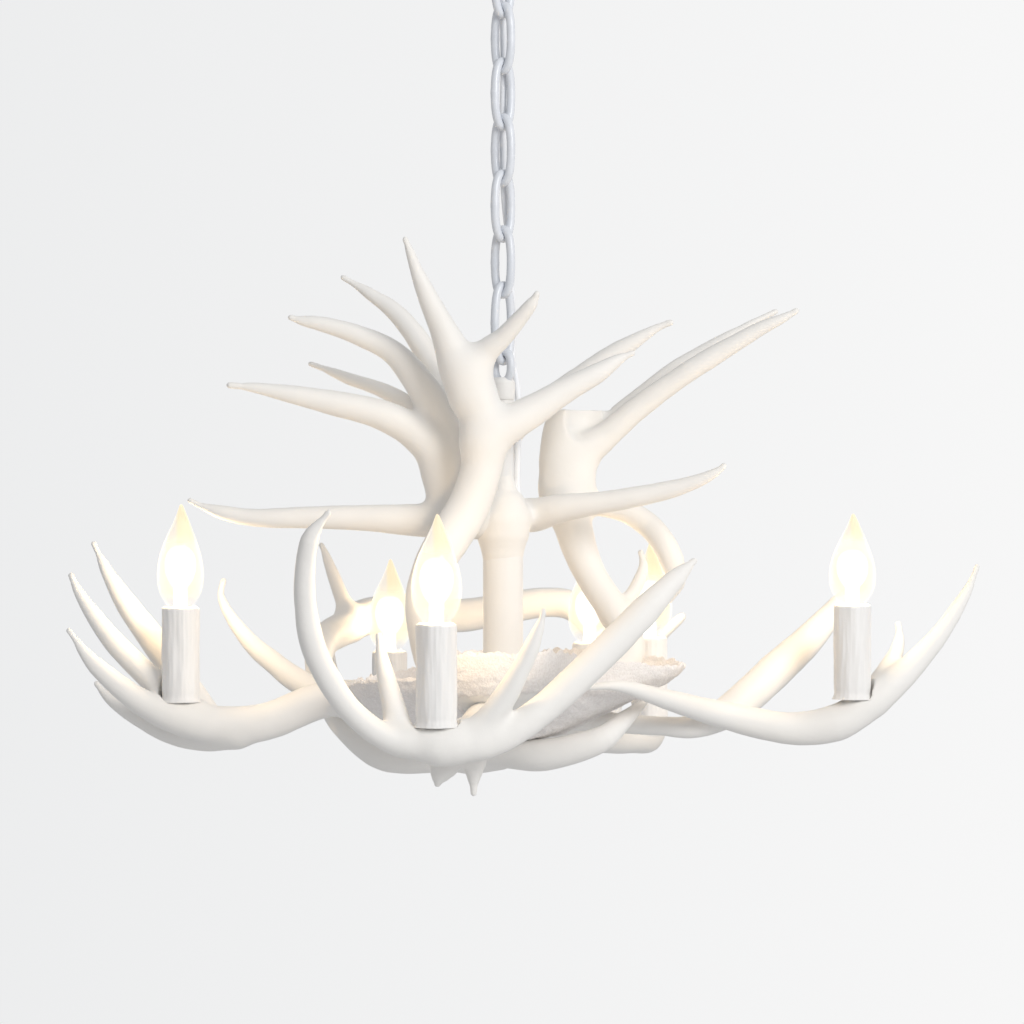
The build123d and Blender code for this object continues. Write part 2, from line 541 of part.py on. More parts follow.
# ------------------------------------------------------------------ antlers
with BuildPart(mode=Mode.PRIVATE) as hub_blank:
    with BuildSketch(Plane.XY.offset(HUB_Z)):
        RegularPolygon(HUB_RADIUS, BROAD_SIDES)
    extrude(amount=HUB_HEIGHT)
    with BuildSketch(Plane.XY.offset(HUB_Z - NUT_THICK)):
        RegularPolygon(NUT_ACROSS, ROUND_SIDES)
    extrude(amount=NUT_THICK)
with BuildPart(mode=Mode.PRIVATE) as stem_blank:
    with BuildSketch(Plane.XY.offset(HUB_TOP)):
        RegularPolygon(COLUMN_RADIUS, BROAD_SIDES, major_radius=False)
    extrude(amount=COLUMN_LENGTH)
    with BuildSketch(Plane.XY.offset(COLUMN_TOP)):
        RegularPolygon(UPPER_HUB_RADIUS, BROAD_SIDES)
    extrude(amount=UPPER_HUB_HEIGHT)
    with BuildSketch(Plane.XY.offset(UPPER_HUB_TOP)):
        RegularPolygon(PIPE_RADIUS, ROUND_SIDES, major_radius=False)
        with Locations((HUB_CORD_X, 0)):
            RegularPolygon(CORD_HOLE_RADIUS, ROUND_SIDES)
    extrude(amount=PIPE_LENGTH)

antlers = {}
groups = [(name, runs, HUB_Z) for name, runs in LOWER_ANTLERS.items()]
groups += [(name, runs, COLUMN_TOP) for name, runs in UPPER_ANTLERS.items()]
for name, runs, datum in groups:
    with BuildPart() as antler:
        add([span for run in runs for span in antler_run(run, datum)])
        room = antler.part.bounding_box()
        in_the_way = [other for other in antlers.values() if other.bounding_box().overlaps(room)]
        add([hub_blank.part, stem_blank.part, *in_the_way], mode=Mode.SUBTRACT)
        for owner, x, y, seat in LIGHTS.values():
            if owner == name:
                with BuildSketch(Plane.XY.offset(datum + seat)):
                    with Locations((x, y)):
                        RegularPolygon(FOOT_RADIUS + RUN_GAP, SLEEVE_SIDES)
                extrude(amount=SLEEVE_LENGTH, mode=Mode.SUBTRACT)
        if name in HUB_SCREWS:
            radial_hole(*HUB_SCREWS[name], SCREW_RADIUS, HUB_RADIUS - 1, HUB_RADIUS + SCREW_GRIP)
    keep(antler, name)
    antlers[name] = antler.part

# ------------------------------------------------------------------ dish
dish_outside = []
dish_inside = []
for out, up in DISH_CURVE:
    radius = DISH_FOOT + out * (DISH_RADIUS - DISH_FOOT)
    z = HUB_Z + DISH_FOOT_HEIGHT + up * (DISH_HEIGHT - DISH_FOOT_HEIGHT)
    dish_outside.append((radius, z))
    dish_inside.append((radius - out * DISH_WALL, z + (1 - up) * DISH_WALL))
with BuildPart() as hub_dish:
    add(spans_between(level_rings(0, 0, dish_outside, DISH_SIDES)))
    add(spans_between(level_rings(0, 0, dish_inside, DISH_SIDES)), mode=Mode.SUBTRACT)
    with BuildSketch(Plane.XY.offset(HUB_Z + DISH_FOOT_HEIGHT)):
        RegularPolygon(DISH_FOOT, DISH_SIDES)
    extrude(amount=DISH_WALL, mode=Mode.SUBTRACT)
    worn_edge = Vector(DISH_WORN_FROM, 0, HUB_Z + DISH_HEIGHT)
    fall = radians(DISH_LOW_SIDE)
    split(bisect_by=Plane(origin=worn_edge, z_dir=(-sin(fall), 0, cos(fall))), keep=Keep.BOTTOM)
    room = hub_dish.part.bounding_box()
    notching = [antler for antler in antlers.values() if antler.bounding_box().overlaps(room)]
    add([antler_screws.part, *notching], mode=Mode.SUBTRACT)
    chips = hub_dish.part.solids().sort_by(SortBy.VOLUME)[:-1]
    if chips:
        add(chips, mode=Mode.SUBTRACT)
keep(hub_dish, "hub_dish")

# ------------------------------------------------------------------ candle lights
SOCKET_HEIGHT = SLEEVE_LENGTH - SOCKET_TOP_GAP
for name, (owner, x, y, seat) in LIGHTS.items():
    foot = HUB_Z + seat
    top = foot + SLEEVE_LENGTH
    mouth = foot + SOCKET_HEIGHT

    with BuildPart() as candle_sleeve:
        with BuildSketch(Plane.XY.offset(foot)):
            with Locations((x, y)):
                RegularPolygon(SLEEVE_RADIUS, SLEEVE_SIDES)
        extrude(amount=SLEEVE_LENGTH)
        flare = [(FOOT_RADIUS, foot), (SLEEVE_RADIUS, foot + FOOT_HEIGHT)]
        add(spans_between(level_rings(x, y, flare, SLEEVE_SIDES)))
        with BuildSketch(Plane.XY.offset(foot)):
            with Locations((x, y)):
                RegularPolygon(SLEEVE_BORE, ROUND_SIDES)
        extrude(amount=SLEEVE_LENGTH, mode=Mode.SUBTRACT)
    keep(candle_sleeve, f"candle_sleeve_{name}")

    with BuildPart() as socket:
        with BuildSketch(Plane.XY.offset(foot)):
            with Locations((x, y)):
                RegularPolygon(SLEEVE_BORE - RUN_GAP, ROUND_SIDES)
        extrude(amount=SOCKET_FLANGE)
        with BuildSketch(Plane.XY.offset(foot)):
            with Locations((x, y)):
                RegularPolygon(SOCKET_RADIUS, ROUND_SIDES)
        extrude(amount=SOCKET_HEIGHT)
        with BuildSketch(Plane.XY.offset(mouth - SOCKET_DEPTH)):
            with Locations((x, y)):
                RegularPolygon(SOCKET_BORE, ROUND_SIDES)
        extrude(amount=SOCKET_DEPTH, mode=Mode.SUBTRACT)
    keep(socket, f"socket_{name}")

    with BuildPart() as bulb_cap:
        with BuildSketch(Plane.XY.offset(mouth - SOCKET_DEPTH + RUN_GAP)):
            with Locations((x, y)):
                RegularPolygon(CAP_RADIUS, ROUND_SIDES)
        extrude(amount=SOCKET_DEPTH)
    keep(bulb_cap, f"bulb_cap_{name}")

    cap_top = mouth + RUN_GAP
    flame = [(CAP_RADIUS + 0.4, cap_top), (9.0, top), (0.86 * GLASS_RADIUS, top + 0.14 * GLASS_HEIGHT),
             (GLASS_RADIUS, top + 0.33 * GLASS_HEIGHT), (0.88 * GLASS_RADIUS, top + 0.52 * GLASS_HEIGHT),
             (0.57 * GLASS_RADIUS, top + 0.70 * GLASS_HEIGHT), (0.25 * GLASS_RADIUS, top + 0.86 * GLASS_HEIGHT),
             (0.06 * GLASS_RADIUS, top + GLASS_HEIGHT)]
    with BuildPart() as bulb_glass:
        add(spans_between(level_rings(x, y, flame, ROUND_SIDES)))
        hollow = [(radius - GLASS_WALL, height) for radius, height in flame[1:-1]]
        add(spans_between(level_rings(x, y, hollow, ROUND_SIDES)), mode=Mode.SUBTRACT)
    keep(bulb_glass, f"bulb_glass_{name}")
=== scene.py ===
"""Antler chandelier: white cast antlers round a stem, six candle lights, hung on a welded chain.

Metres, +Z up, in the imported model's frame. The sections follow the lamp as it is put together,
from the ceiling down.
"""

import math

import bmesh
import bpy
import numpy as np
import openvdb
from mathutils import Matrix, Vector, noise


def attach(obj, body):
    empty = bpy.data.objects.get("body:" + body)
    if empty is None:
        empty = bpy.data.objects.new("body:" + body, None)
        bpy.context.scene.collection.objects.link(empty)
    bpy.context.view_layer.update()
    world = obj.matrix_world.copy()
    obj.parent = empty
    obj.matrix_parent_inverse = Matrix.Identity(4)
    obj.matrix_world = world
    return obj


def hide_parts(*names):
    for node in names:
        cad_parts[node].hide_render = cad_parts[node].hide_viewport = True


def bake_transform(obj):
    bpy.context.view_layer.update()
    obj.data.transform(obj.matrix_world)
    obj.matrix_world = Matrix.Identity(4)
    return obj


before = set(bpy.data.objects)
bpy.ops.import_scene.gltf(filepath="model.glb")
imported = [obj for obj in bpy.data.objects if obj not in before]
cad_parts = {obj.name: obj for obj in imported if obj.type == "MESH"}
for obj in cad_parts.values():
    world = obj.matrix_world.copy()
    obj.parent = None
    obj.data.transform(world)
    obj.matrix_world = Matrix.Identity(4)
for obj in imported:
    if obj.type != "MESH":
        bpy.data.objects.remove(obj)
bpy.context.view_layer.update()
MM = 0.001

# ---------------------------------------------------------------- camera
# Level with the middle of the lamp and 2.3 m in front of its stem, where the whole lamp and
# the lower five links of its chain fill a square picture.
VIEW_DISTANCE = 2.3
VIEW_WIDTH = 0.768
viewer = bpy.data.cameras.new("viewer")
viewer.sensor_width = 36
viewer.lens = 36 * VIEW_DISTANCE / VIEW_WIDTH
camera = bpy.data.objects.new("viewer", viewer)
camera.location = (0.00675, -VIEW_DISTANCE, -0.47775)
camera.rotation_euler = (math.radians(90), 0, 0)
bpy.context.scene.collection.objects.link(camera)
bpy.context.scene.camera = camera


# ---------------------------------------------------------------- ceiling fitting
# A spun steel canopy hides the ceiling box. It is held up by a collar ring screwed on to the
# body of the top loop, which hangs from a threaded nipple through a crossbar. The outside is
# painted white and the hidden parts are zinc-plated.
class Wire:
    """An output of a finish's nodes, so that shader maths reads as plain arithmetic."""

    def __init__(self, finish, socket):
        self.finish, self.socket = finish, socket

    def maths(self, operation, first, second):
        return self.finish.node("ShaderNodeMath", {"operation": operation}, {0: first, 1: second})

    def __add__(self, other):
        return self.maths("ADD", self, other)

    def __sub__(self, other):
        return self.maths("SUBTRACT", self, other)

    def __rsub__(self, other):
        return self.maths("SUBTRACT", other, self)

    def __mul__(self, other):
        return self.maths("MULTIPLY", self, other)

    def __pow__(self, power):
        return self.maths("POWER", self, power)

    def rise(self, low, high):
        """A smooth step from 0 to 1 as this passes from low to high."""
        return self.finish.node("ShaderNodeMapRange", {"interpolation_type": "SMOOTHSTEP"},
                                {"Value": self, "From Min": low, "From Max": high})

    __radd__ = __add__
    __rmul__ = __mul__


class Finish:
    """A paint, metal, resin, glass or sky, with its nodes."""

    def __init__(self, name, kind="materials", shader="Principled BSDF", **sockets):
        self.block = getattr(bpy.data, kind).new(name)
        self.block.use_nodes = True
        self.tree = self.block.node_tree
        self.shader = self.tree.nodes[shader]
        self.place = self.node("ShaderNodeTexCoord", output="Object")
        self.set(**sockets)

    def plug(self, socket, value):
        if isinstance(value, Wire):
            self.tree.links.new(value.socket, socket)
        elif isinstance(value, tuple) and len(socket.default_value) == 4:
            socket.default_value = (*value, 1)
        else:
            socket.default_value = value

    def set(self, **sockets):
        for name, value in sockets.items():
            self.plug(self.shader.inputs[name.replace("_", " ")], value)

    def node(self, kind, settings={}, sockets={}, output=0):
        made = self.tree.nodes.new(kind)
        for name, value in settings.items():
            if name == "stops":
                for number, (position, colour) in enumerate(value):
                    if number > 1:
                        made.color_ramp.elements.new(position)
                    made.color_ramp.elements[number].position = position
                    made.color_ramp.elements[number].color = (*colour, 1)
            else:
                setattr(made, name, value)
        for name, value in sockets.items():
            self.plug(made.inputs[name], value)
        return Wire(self, made.outputs[output])

    def mix(self, share, first, second):
        """One colour passing into another by a share."""
        return self.node("ShaderNodeMix", {"data_type": "RGBA"}, {0: share, 6: first, 7: second}, 2)

    def grain(self, size, detail=2.0, stretch=(1, 1, 1)):
        """Noise from 0 to 1 whose grains are about a size in millimetres."""
        place = self.node("ShaderNodeMapping", {}, {"Vector": self.place, "Scale": stretch})
        return self.node("ShaderNodeTexNoise", {},
                         {"Vector": place, "Scale": 1 / (size * MM), "Detail": detail})

    def relief(self, height, depth):
        """Bumps as deep as a number of millimetres where the height is 1."""
        self.set(Normal=self.node("ShaderNodeBump", {}, {"Height": height, "Distance": depth * MM}))


def made_of(name, points, faces, finish, crease=40):
    """A mesh piece with a finish, smooth but for edges sharper than the crease, in degrees."""
    mesh = bpy.data.meshes.new(name)
    mesh.from_pydata([tuple(p) for p in points], [], [tuple(f) for f in faces])
    mesh.materials.append(finish.block)
    tidy = bmesh.new()
    tidy.from_mesh(mesh)
    bmesh.ops.remove_doubles(tidy, verts=tidy.verts, dist=1e-6)
    bmesh.ops.recalc_face_normals(tidy, faces=tidy.faces)
    tidy.to_mesh(mesh)
    tidy.free()
    mesh.shade_smooth()
    mesh.set_sharp_from_angle(angle=math.radians(crease))
    piece = bpy.data.objects.new(name, mesh)
    bpy.context.scene.collection.objects.link(piece)
    return piece


def eased(outline, ease):
    """A closed outline with its corners turned into small arcs."""
    soft = []
    for number, corner in enumerate(outline):
        corner = Vector(corner)
        before = Vector(outline[number - 1]) - corner
        after = Vector(outline[(number + 1) % len(outline)]) - corner
        reach = min(ease, 0.4 * before.length, 0.4 * after.length)
        if corner.x < 1e-6 or reach < 1e-6:
            soft.append(corner)
            continue
        start, end = corner + before.normalized() * reach, corner + after.normalized() * reach
        for share in (0, 0.25, 0.5, 0.75, 1):
            soft.append(start.lerp(corner, share).lerp(corner.lerp(end, share), share))
    return soft


def turned(name, outline, finish, ease=0.6, at=(0, 0), sides=96):
    """A spun, cast or lathe-turned piece, from a closed outline of (radius, height), in mm."""
    soft = eased([(r * MM, z * MM) for r, z in outline], ease * MM)
    turns = [2 * math.pi * n / sides for n in range(sides)]
    points = [(at[0] * MM + p.x * math.cos(t), at[1] * MM + p.x * math.sin(t), p.y)
              for t in turns for p in soft]
    count = len(soft)
    faces = [(a * count + n, a * count + (n + 1) % count,
              (a + 1) % sides * count + (n + 1) % count, (a + 1) % sides * count + n)
             for a in range(sides) for n in range(count)]
    return made_of(name, points, faces, finish)


def drawn(name, course, radius, finish, closed=False, sides=18):
    """Round wire or cord of one or of varying radius along a course, in metres."""
    course = [Vector(p) for p in course]
    count = len(course)
    radii = [radius] * count if isinstance(radius, float) else radius
    points, across = [], None
    for number, middle in enumerate(course):
        if closed:
            ahead = course[(number + 1) % count] - course[number - 1]
        else:
            ahead = course[min(number + 1, count - 1)] - course[max(number - 1, 0)]
        ahead.normalize()
        if across is None:
            across = ahead.orthogonal()
        across = (across - ahead * across.dot(ahead)).normalized()
        other = ahead.cross(across)
        for side in range(sides):
            t = 2 * math.pi * side / sides
            points.append(middle + (across * math.cos(t) + other * math.sin(t)) * radii[number])
    steps = count if closed else count - 1
    faces = [(n * sides + s, n * sides + (s + 1) % sides,
              (n + 1) % count * sides + (s + 1) % sides, (n + 1) % count * sides + s)
             for n in range(steps) for s in range(sides)]
    if not closed:
        faces += [range(sides), range((count - 1) * sides, count * sides)]
    return made_of(name, points, faces, finish)


def mount(piece, body, slot, *nodes):
    """Set a finished piece on the body it moves with, in place of its plain nodes."""
    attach(piece, body)
    if nodes:
        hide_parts(*nodes)
    return piece


white_paint = Finish("white_paint", Specular_IOR_Level=0.45)
drift = white_paint.grain(25)
white_paint.set(Base_Color=white_paint.mix(drift, (0.80, 0.81, 0.83), (0.86, 0.865, 0.87)),
                Roughness=0.34 + 0.12 * white_paint.grain(6))
white_paint.relief(white_paint.grain(1.6, 3), 0.05)

zinc = Finish("zinc_plate", Metallic=1.0)
spangle = zinc.grain(4, 4)
zinc.set(Base_Color=zinc.mix(spangle, (0.50, 0.51, 0.53), (0.68, 0.69, 0.71)),
         Roughness=0.28 + 0.2 * zinc.grain(1.2))
zinc.relief(zinc.grain(0.5), 0.03)
for node in ("crossbar", "threaded_nipple", "lock_nut", "threaded_rod", "hub_nuts",
             "antler_screws"):
    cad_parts[node].data.materials.clear()
    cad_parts[node].data.materials.append(zinc.block)

CANOPY_OUTSIDE = [(65, 0), (65, -2.6), (63.6, -7), (60.4, -12), (56, -16), (51.2, -19.4),
                  (45, -22.6), (38, -25.2), (30, -27), (24, -27.8), (19, -28)]
canopy_inside = [(r - 1.4, z + 1.5) for r, z in CANOPY_OUTSIDE[1:-1]]
mount(turned("spun_canopy", CANOPY_OUTSIDE + [(19, -26.5)] + canopy_inside[::-1] + [(63.6, 0)],
             white_paint, ease=0.5, sides=128), "canopy_cover", "white_metal", "canopy")

mount(turned("collar_nut", [(16.4, -28), (19.5, -28), (21.2, -29), (22, -30), (22, -32.5),
                            (21.2, -33.6), (19.6, -34.5), (16.4, -34.5)],
             white_paint), "canopy_cover", "white_metal", "collar_ring")

mount(turned("loop_body", [(0, -19), (16, -19), (16, -33.8), (13.5, -36.5), (0, -36.5)],
             white_paint, ease=1.2), "ceiling_mount", "white_metal")

WIRE_RADIUS = 3.2
LINK_HALF_WIDTH = 8.5
FLATTER_SIDES, FLATTER_ENDS = 0.82, 0.86      # powers that square an ellipse a little


def oval(top, pitch, twist):
    """A link's middle line: an oval with slightly flattened sides, hanging from its top wire."""
    turn = math.radians(twist)
    course = []
    for step in range(64):
        angle = 2 * math.pi * step / 64
        across, up = math.cos(angle), math.sin(angle)
        x = LINK_HALF_WIDTH * math.copysign(abs(across) ** FLATTER_SIDES, across)
        z = top - pitch / 2 + pitch / 2 * math.copysign(abs(up) ** FLATTER_ENDS, up)
        course.append((x * math.cos(turn) * MM, x * math.sin(turn) * MM, z * MM))
    return course


mount(drawn("hanging_loop", oval(-33.3, 29.4, -45), WIRE_RADIUS * MM, white_paint, closed=True),
      "ceiling_mount", "white_metal", "canopy_loop")

# ---------------------------------------------------------------- chain
# Six welded oval links and a longer end link of 6.4 mm steel wire, painted white. Each stands
# a quarter turn from the last and swings on the wire of the one above.
LINK_STEP = 6.9               # bottom wire of one link to the top wire of the next
link_bottoms = [-62.7 - 42 * n for n in range(7)] + [-364.7]
chain_paint = Finish("chain_paint", Specular_IOR_Level=0.5)
rub = chain_paint.grain(7, 3)
chain_paint.set(Base_Color=chain_paint.mix(rub, (0.66, 0.69, 0.74), (0.78, 0.81, 0.86)),
                Roughness=0.2 + 0.12 * chain_paint.grain(3))
chain_paint.relief(chain_paint.grain(1.3, 3), 0.06)


def weld_swell(count, at):
    """Wire radii round a link, a little thicker over the weld in the middle of one side."""
    return [(WIRE_RADIUS + 0.2 * math.exp(-((n - at) / 0.8) ** 2)) * MM for n in range(count)]


for number, bottom in enumerate(link_bottoms[:-1], start=1):
    pitch = bottom - link_bottoms[number] + LINK_STEP
    course = oval(bottom + LINK_STEP, pitch, 45 if number % 2 else -45)
    last = number == 7
    name = "end_link" if last else f"chain_link_{number}"
    mount(drawn(f"welded_{name}", course, weld_swell(len(course), 32), chain_paint, closed=True),
          "lower_link" if last else f"link_{number}", "white_metal", name)

# ---------------------------------------------------------------- supply cord
# A 5 mm three-core cord in a pale PVC sheath. It leaves the top loop's body through a
# bushing, is threaded through the first link, hangs down behind the chain, and runs beside
# the stem into the upper hub.
CORD_RADIUS = 2.5
CORD_BEHIND = [(0, 10.8), (0.3, 10.0), (0.6, 10.3), (0.2, 9.9), (-0.3, 10.2), (0, 9.9),
               (0.2, 10.3), (1.5, 11), (4, 12.1), (5.8, 11.6), (6.6, 12.4), (7.2, 12.5),
               (6.6, 12)]
sheath = Finish("cord_sheath", Specular_IOR_Level=0.4)
sheath.set(Base_Color=sheath.mix(sheath.grain(14), (0.86, 0.88, 0.915), (0.90, 0.915, 0.94)),
           Roughness=0.38 + 0.1 * sheath.grain(4))
sheath.relief(sheath.grain(2.2, 2, (1, 1, 0.25)), 0.08)

cord_points = [(11.5, 0, -17), (11.5, 0.2, -38), (12.8, 0, -59.25), (-0.5, -0.5, -80.25)]
for number, (x, y) in enumerate(CORD_BEHIND):
    above, below = link_bottoms[number // 2 + 1], link_bottoms[(number + 1) // 2 + 1]
    cord_points.append((x, y, (above + below + LINK_STEP) / 2))
cord_points += [(10, 8.6, -378.6), (12.2, 3.2, -394.6), (11.4, 0.4, -414), (10.8, 0, -437),
                (10.8, 0, -477)]
route = bpy.data.curves.new("cord_route", "CURVE")
route.dimensions = "3D"
route.resolution_u = 12
line = route.splines.new("NURBS")
line.points.add(len(cord_points) - 1)
for point, place in zip(line.points, cord_points):
    point.co = (*[v * MM for v in place], 1)
line.order_u = 3
line.use_endpoint_u = True
route_piece = bpy.data.objects.new("cord_route", route)
bpy.context.scene.collection.objects.link(route_piece)
bpy.context.view_layer.update()
flat_route = bpy.data.meshes.new_from_object(route_piece)
cord_line = [v.co.copy() for v in flat_route.vertices]
bpy.data.objects.remove(route_piece)
bpy.data.meshes.remove(flat_route)

cuts = [0] + [(a + b + LINK_STEP) / 2 for a, b in zip(link_bottoms, link_bottoms[1:])] + [-500]
for number, bottom in enumerate(link_bottoms):
    top, low = cuts[number] * MM, cuts[number + 1] * MM
    inside = [n for n, p in enumerate(cord_line) if low <= p.z <= top]
    stretch = cord_line[inside[0]:inside[-1] + 2]
    piece = drawn(f"supply_cord_{number + 1}", stretch, CORD_RADIUS * MM, sheath)
    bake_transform(piece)
    if number == 0:
        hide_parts("power_cord")

mount(turned("cord_bushing", [(2.6, -36), (4.4, -36), (4.4, -37.6), (3.6, -40), (2.6, -40)],
             sheath, ease=0.4, at=(11.5, 0), sides=32), "ceiling_mount", "cord_sheath")

# ---------------------------------------------------------------- stem and hubs
# Steel tube and turned hubs on one threaded rod, painted satin white: a thin pipe, the upper
# hub that carries two crown antlers, a thick column, and a cup with its plate at the bottom.
HUB_Z = -646.0
COLUMN_TOP = -499.0
stem_paint = Finish("stem_paint", Specular_IOR_Level=0.35)
stem_paint.set(Base_Color=stem_paint.mix(stem_paint.grain(30), (0.83, 0.82, 0.80), (0.88, 0.87, 0.85)),
               Roughness=0.42 + 0.14 * stem_paint.grain(5))
stem_paint.relief(stem_paint.grain(2.2, 3), 0.07)

mount(drawn("stem_ring", oval(-357.8, 22, -45), WIRE_RADIUS * MM, chain_paint, closed=True),
      "lamp", "white_metal", "top_loop")
mount(turned("stem_boss", [(0, -376.8), (6.5, -376.8), (9, -380), (9, -391.5), (8.4, -394),
                           (0, -394)], stem_paint, ease=1.2, sides=64), "lamp", "white_metal")
mount(turned("thin_pipe", [(6, -394), (8, -394), (8, -465), (6, -465)], stem_paint, ease=0.3,
             sides=64), "lamp", "white_metal", "centre_pipe")
mount(turned("upper_boss", [(4, -465), (11, -465), (15, -472), (15, -496.5), (13, -499),
                            (4, -499)], stem_paint, ease=1.5), "lamp", "white_metal", "upper_hub")
mount(turned("thick_column", [(12, -499), (15, -499), (15, -592), (12, -592)], stem_paint,
             ease=0.3), "lamp", "white_metal", "centre_column")
mount(turned("lower_cup", [(4, -592), (37, -592), (40, -595), (40, -642), (36, -642),
                           (36, -596), (4, -596)], stem_paint, ease=1.5),
      "lamp", "white_metal", "hub_cup")
mount(turned("lower_plate", [(4, -642), (40, -642), (40, -644.5), (38.5, -646), (4, -646)],
             stem_paint, ease=0.8), "lamp", "white_metal", "hub_plate")

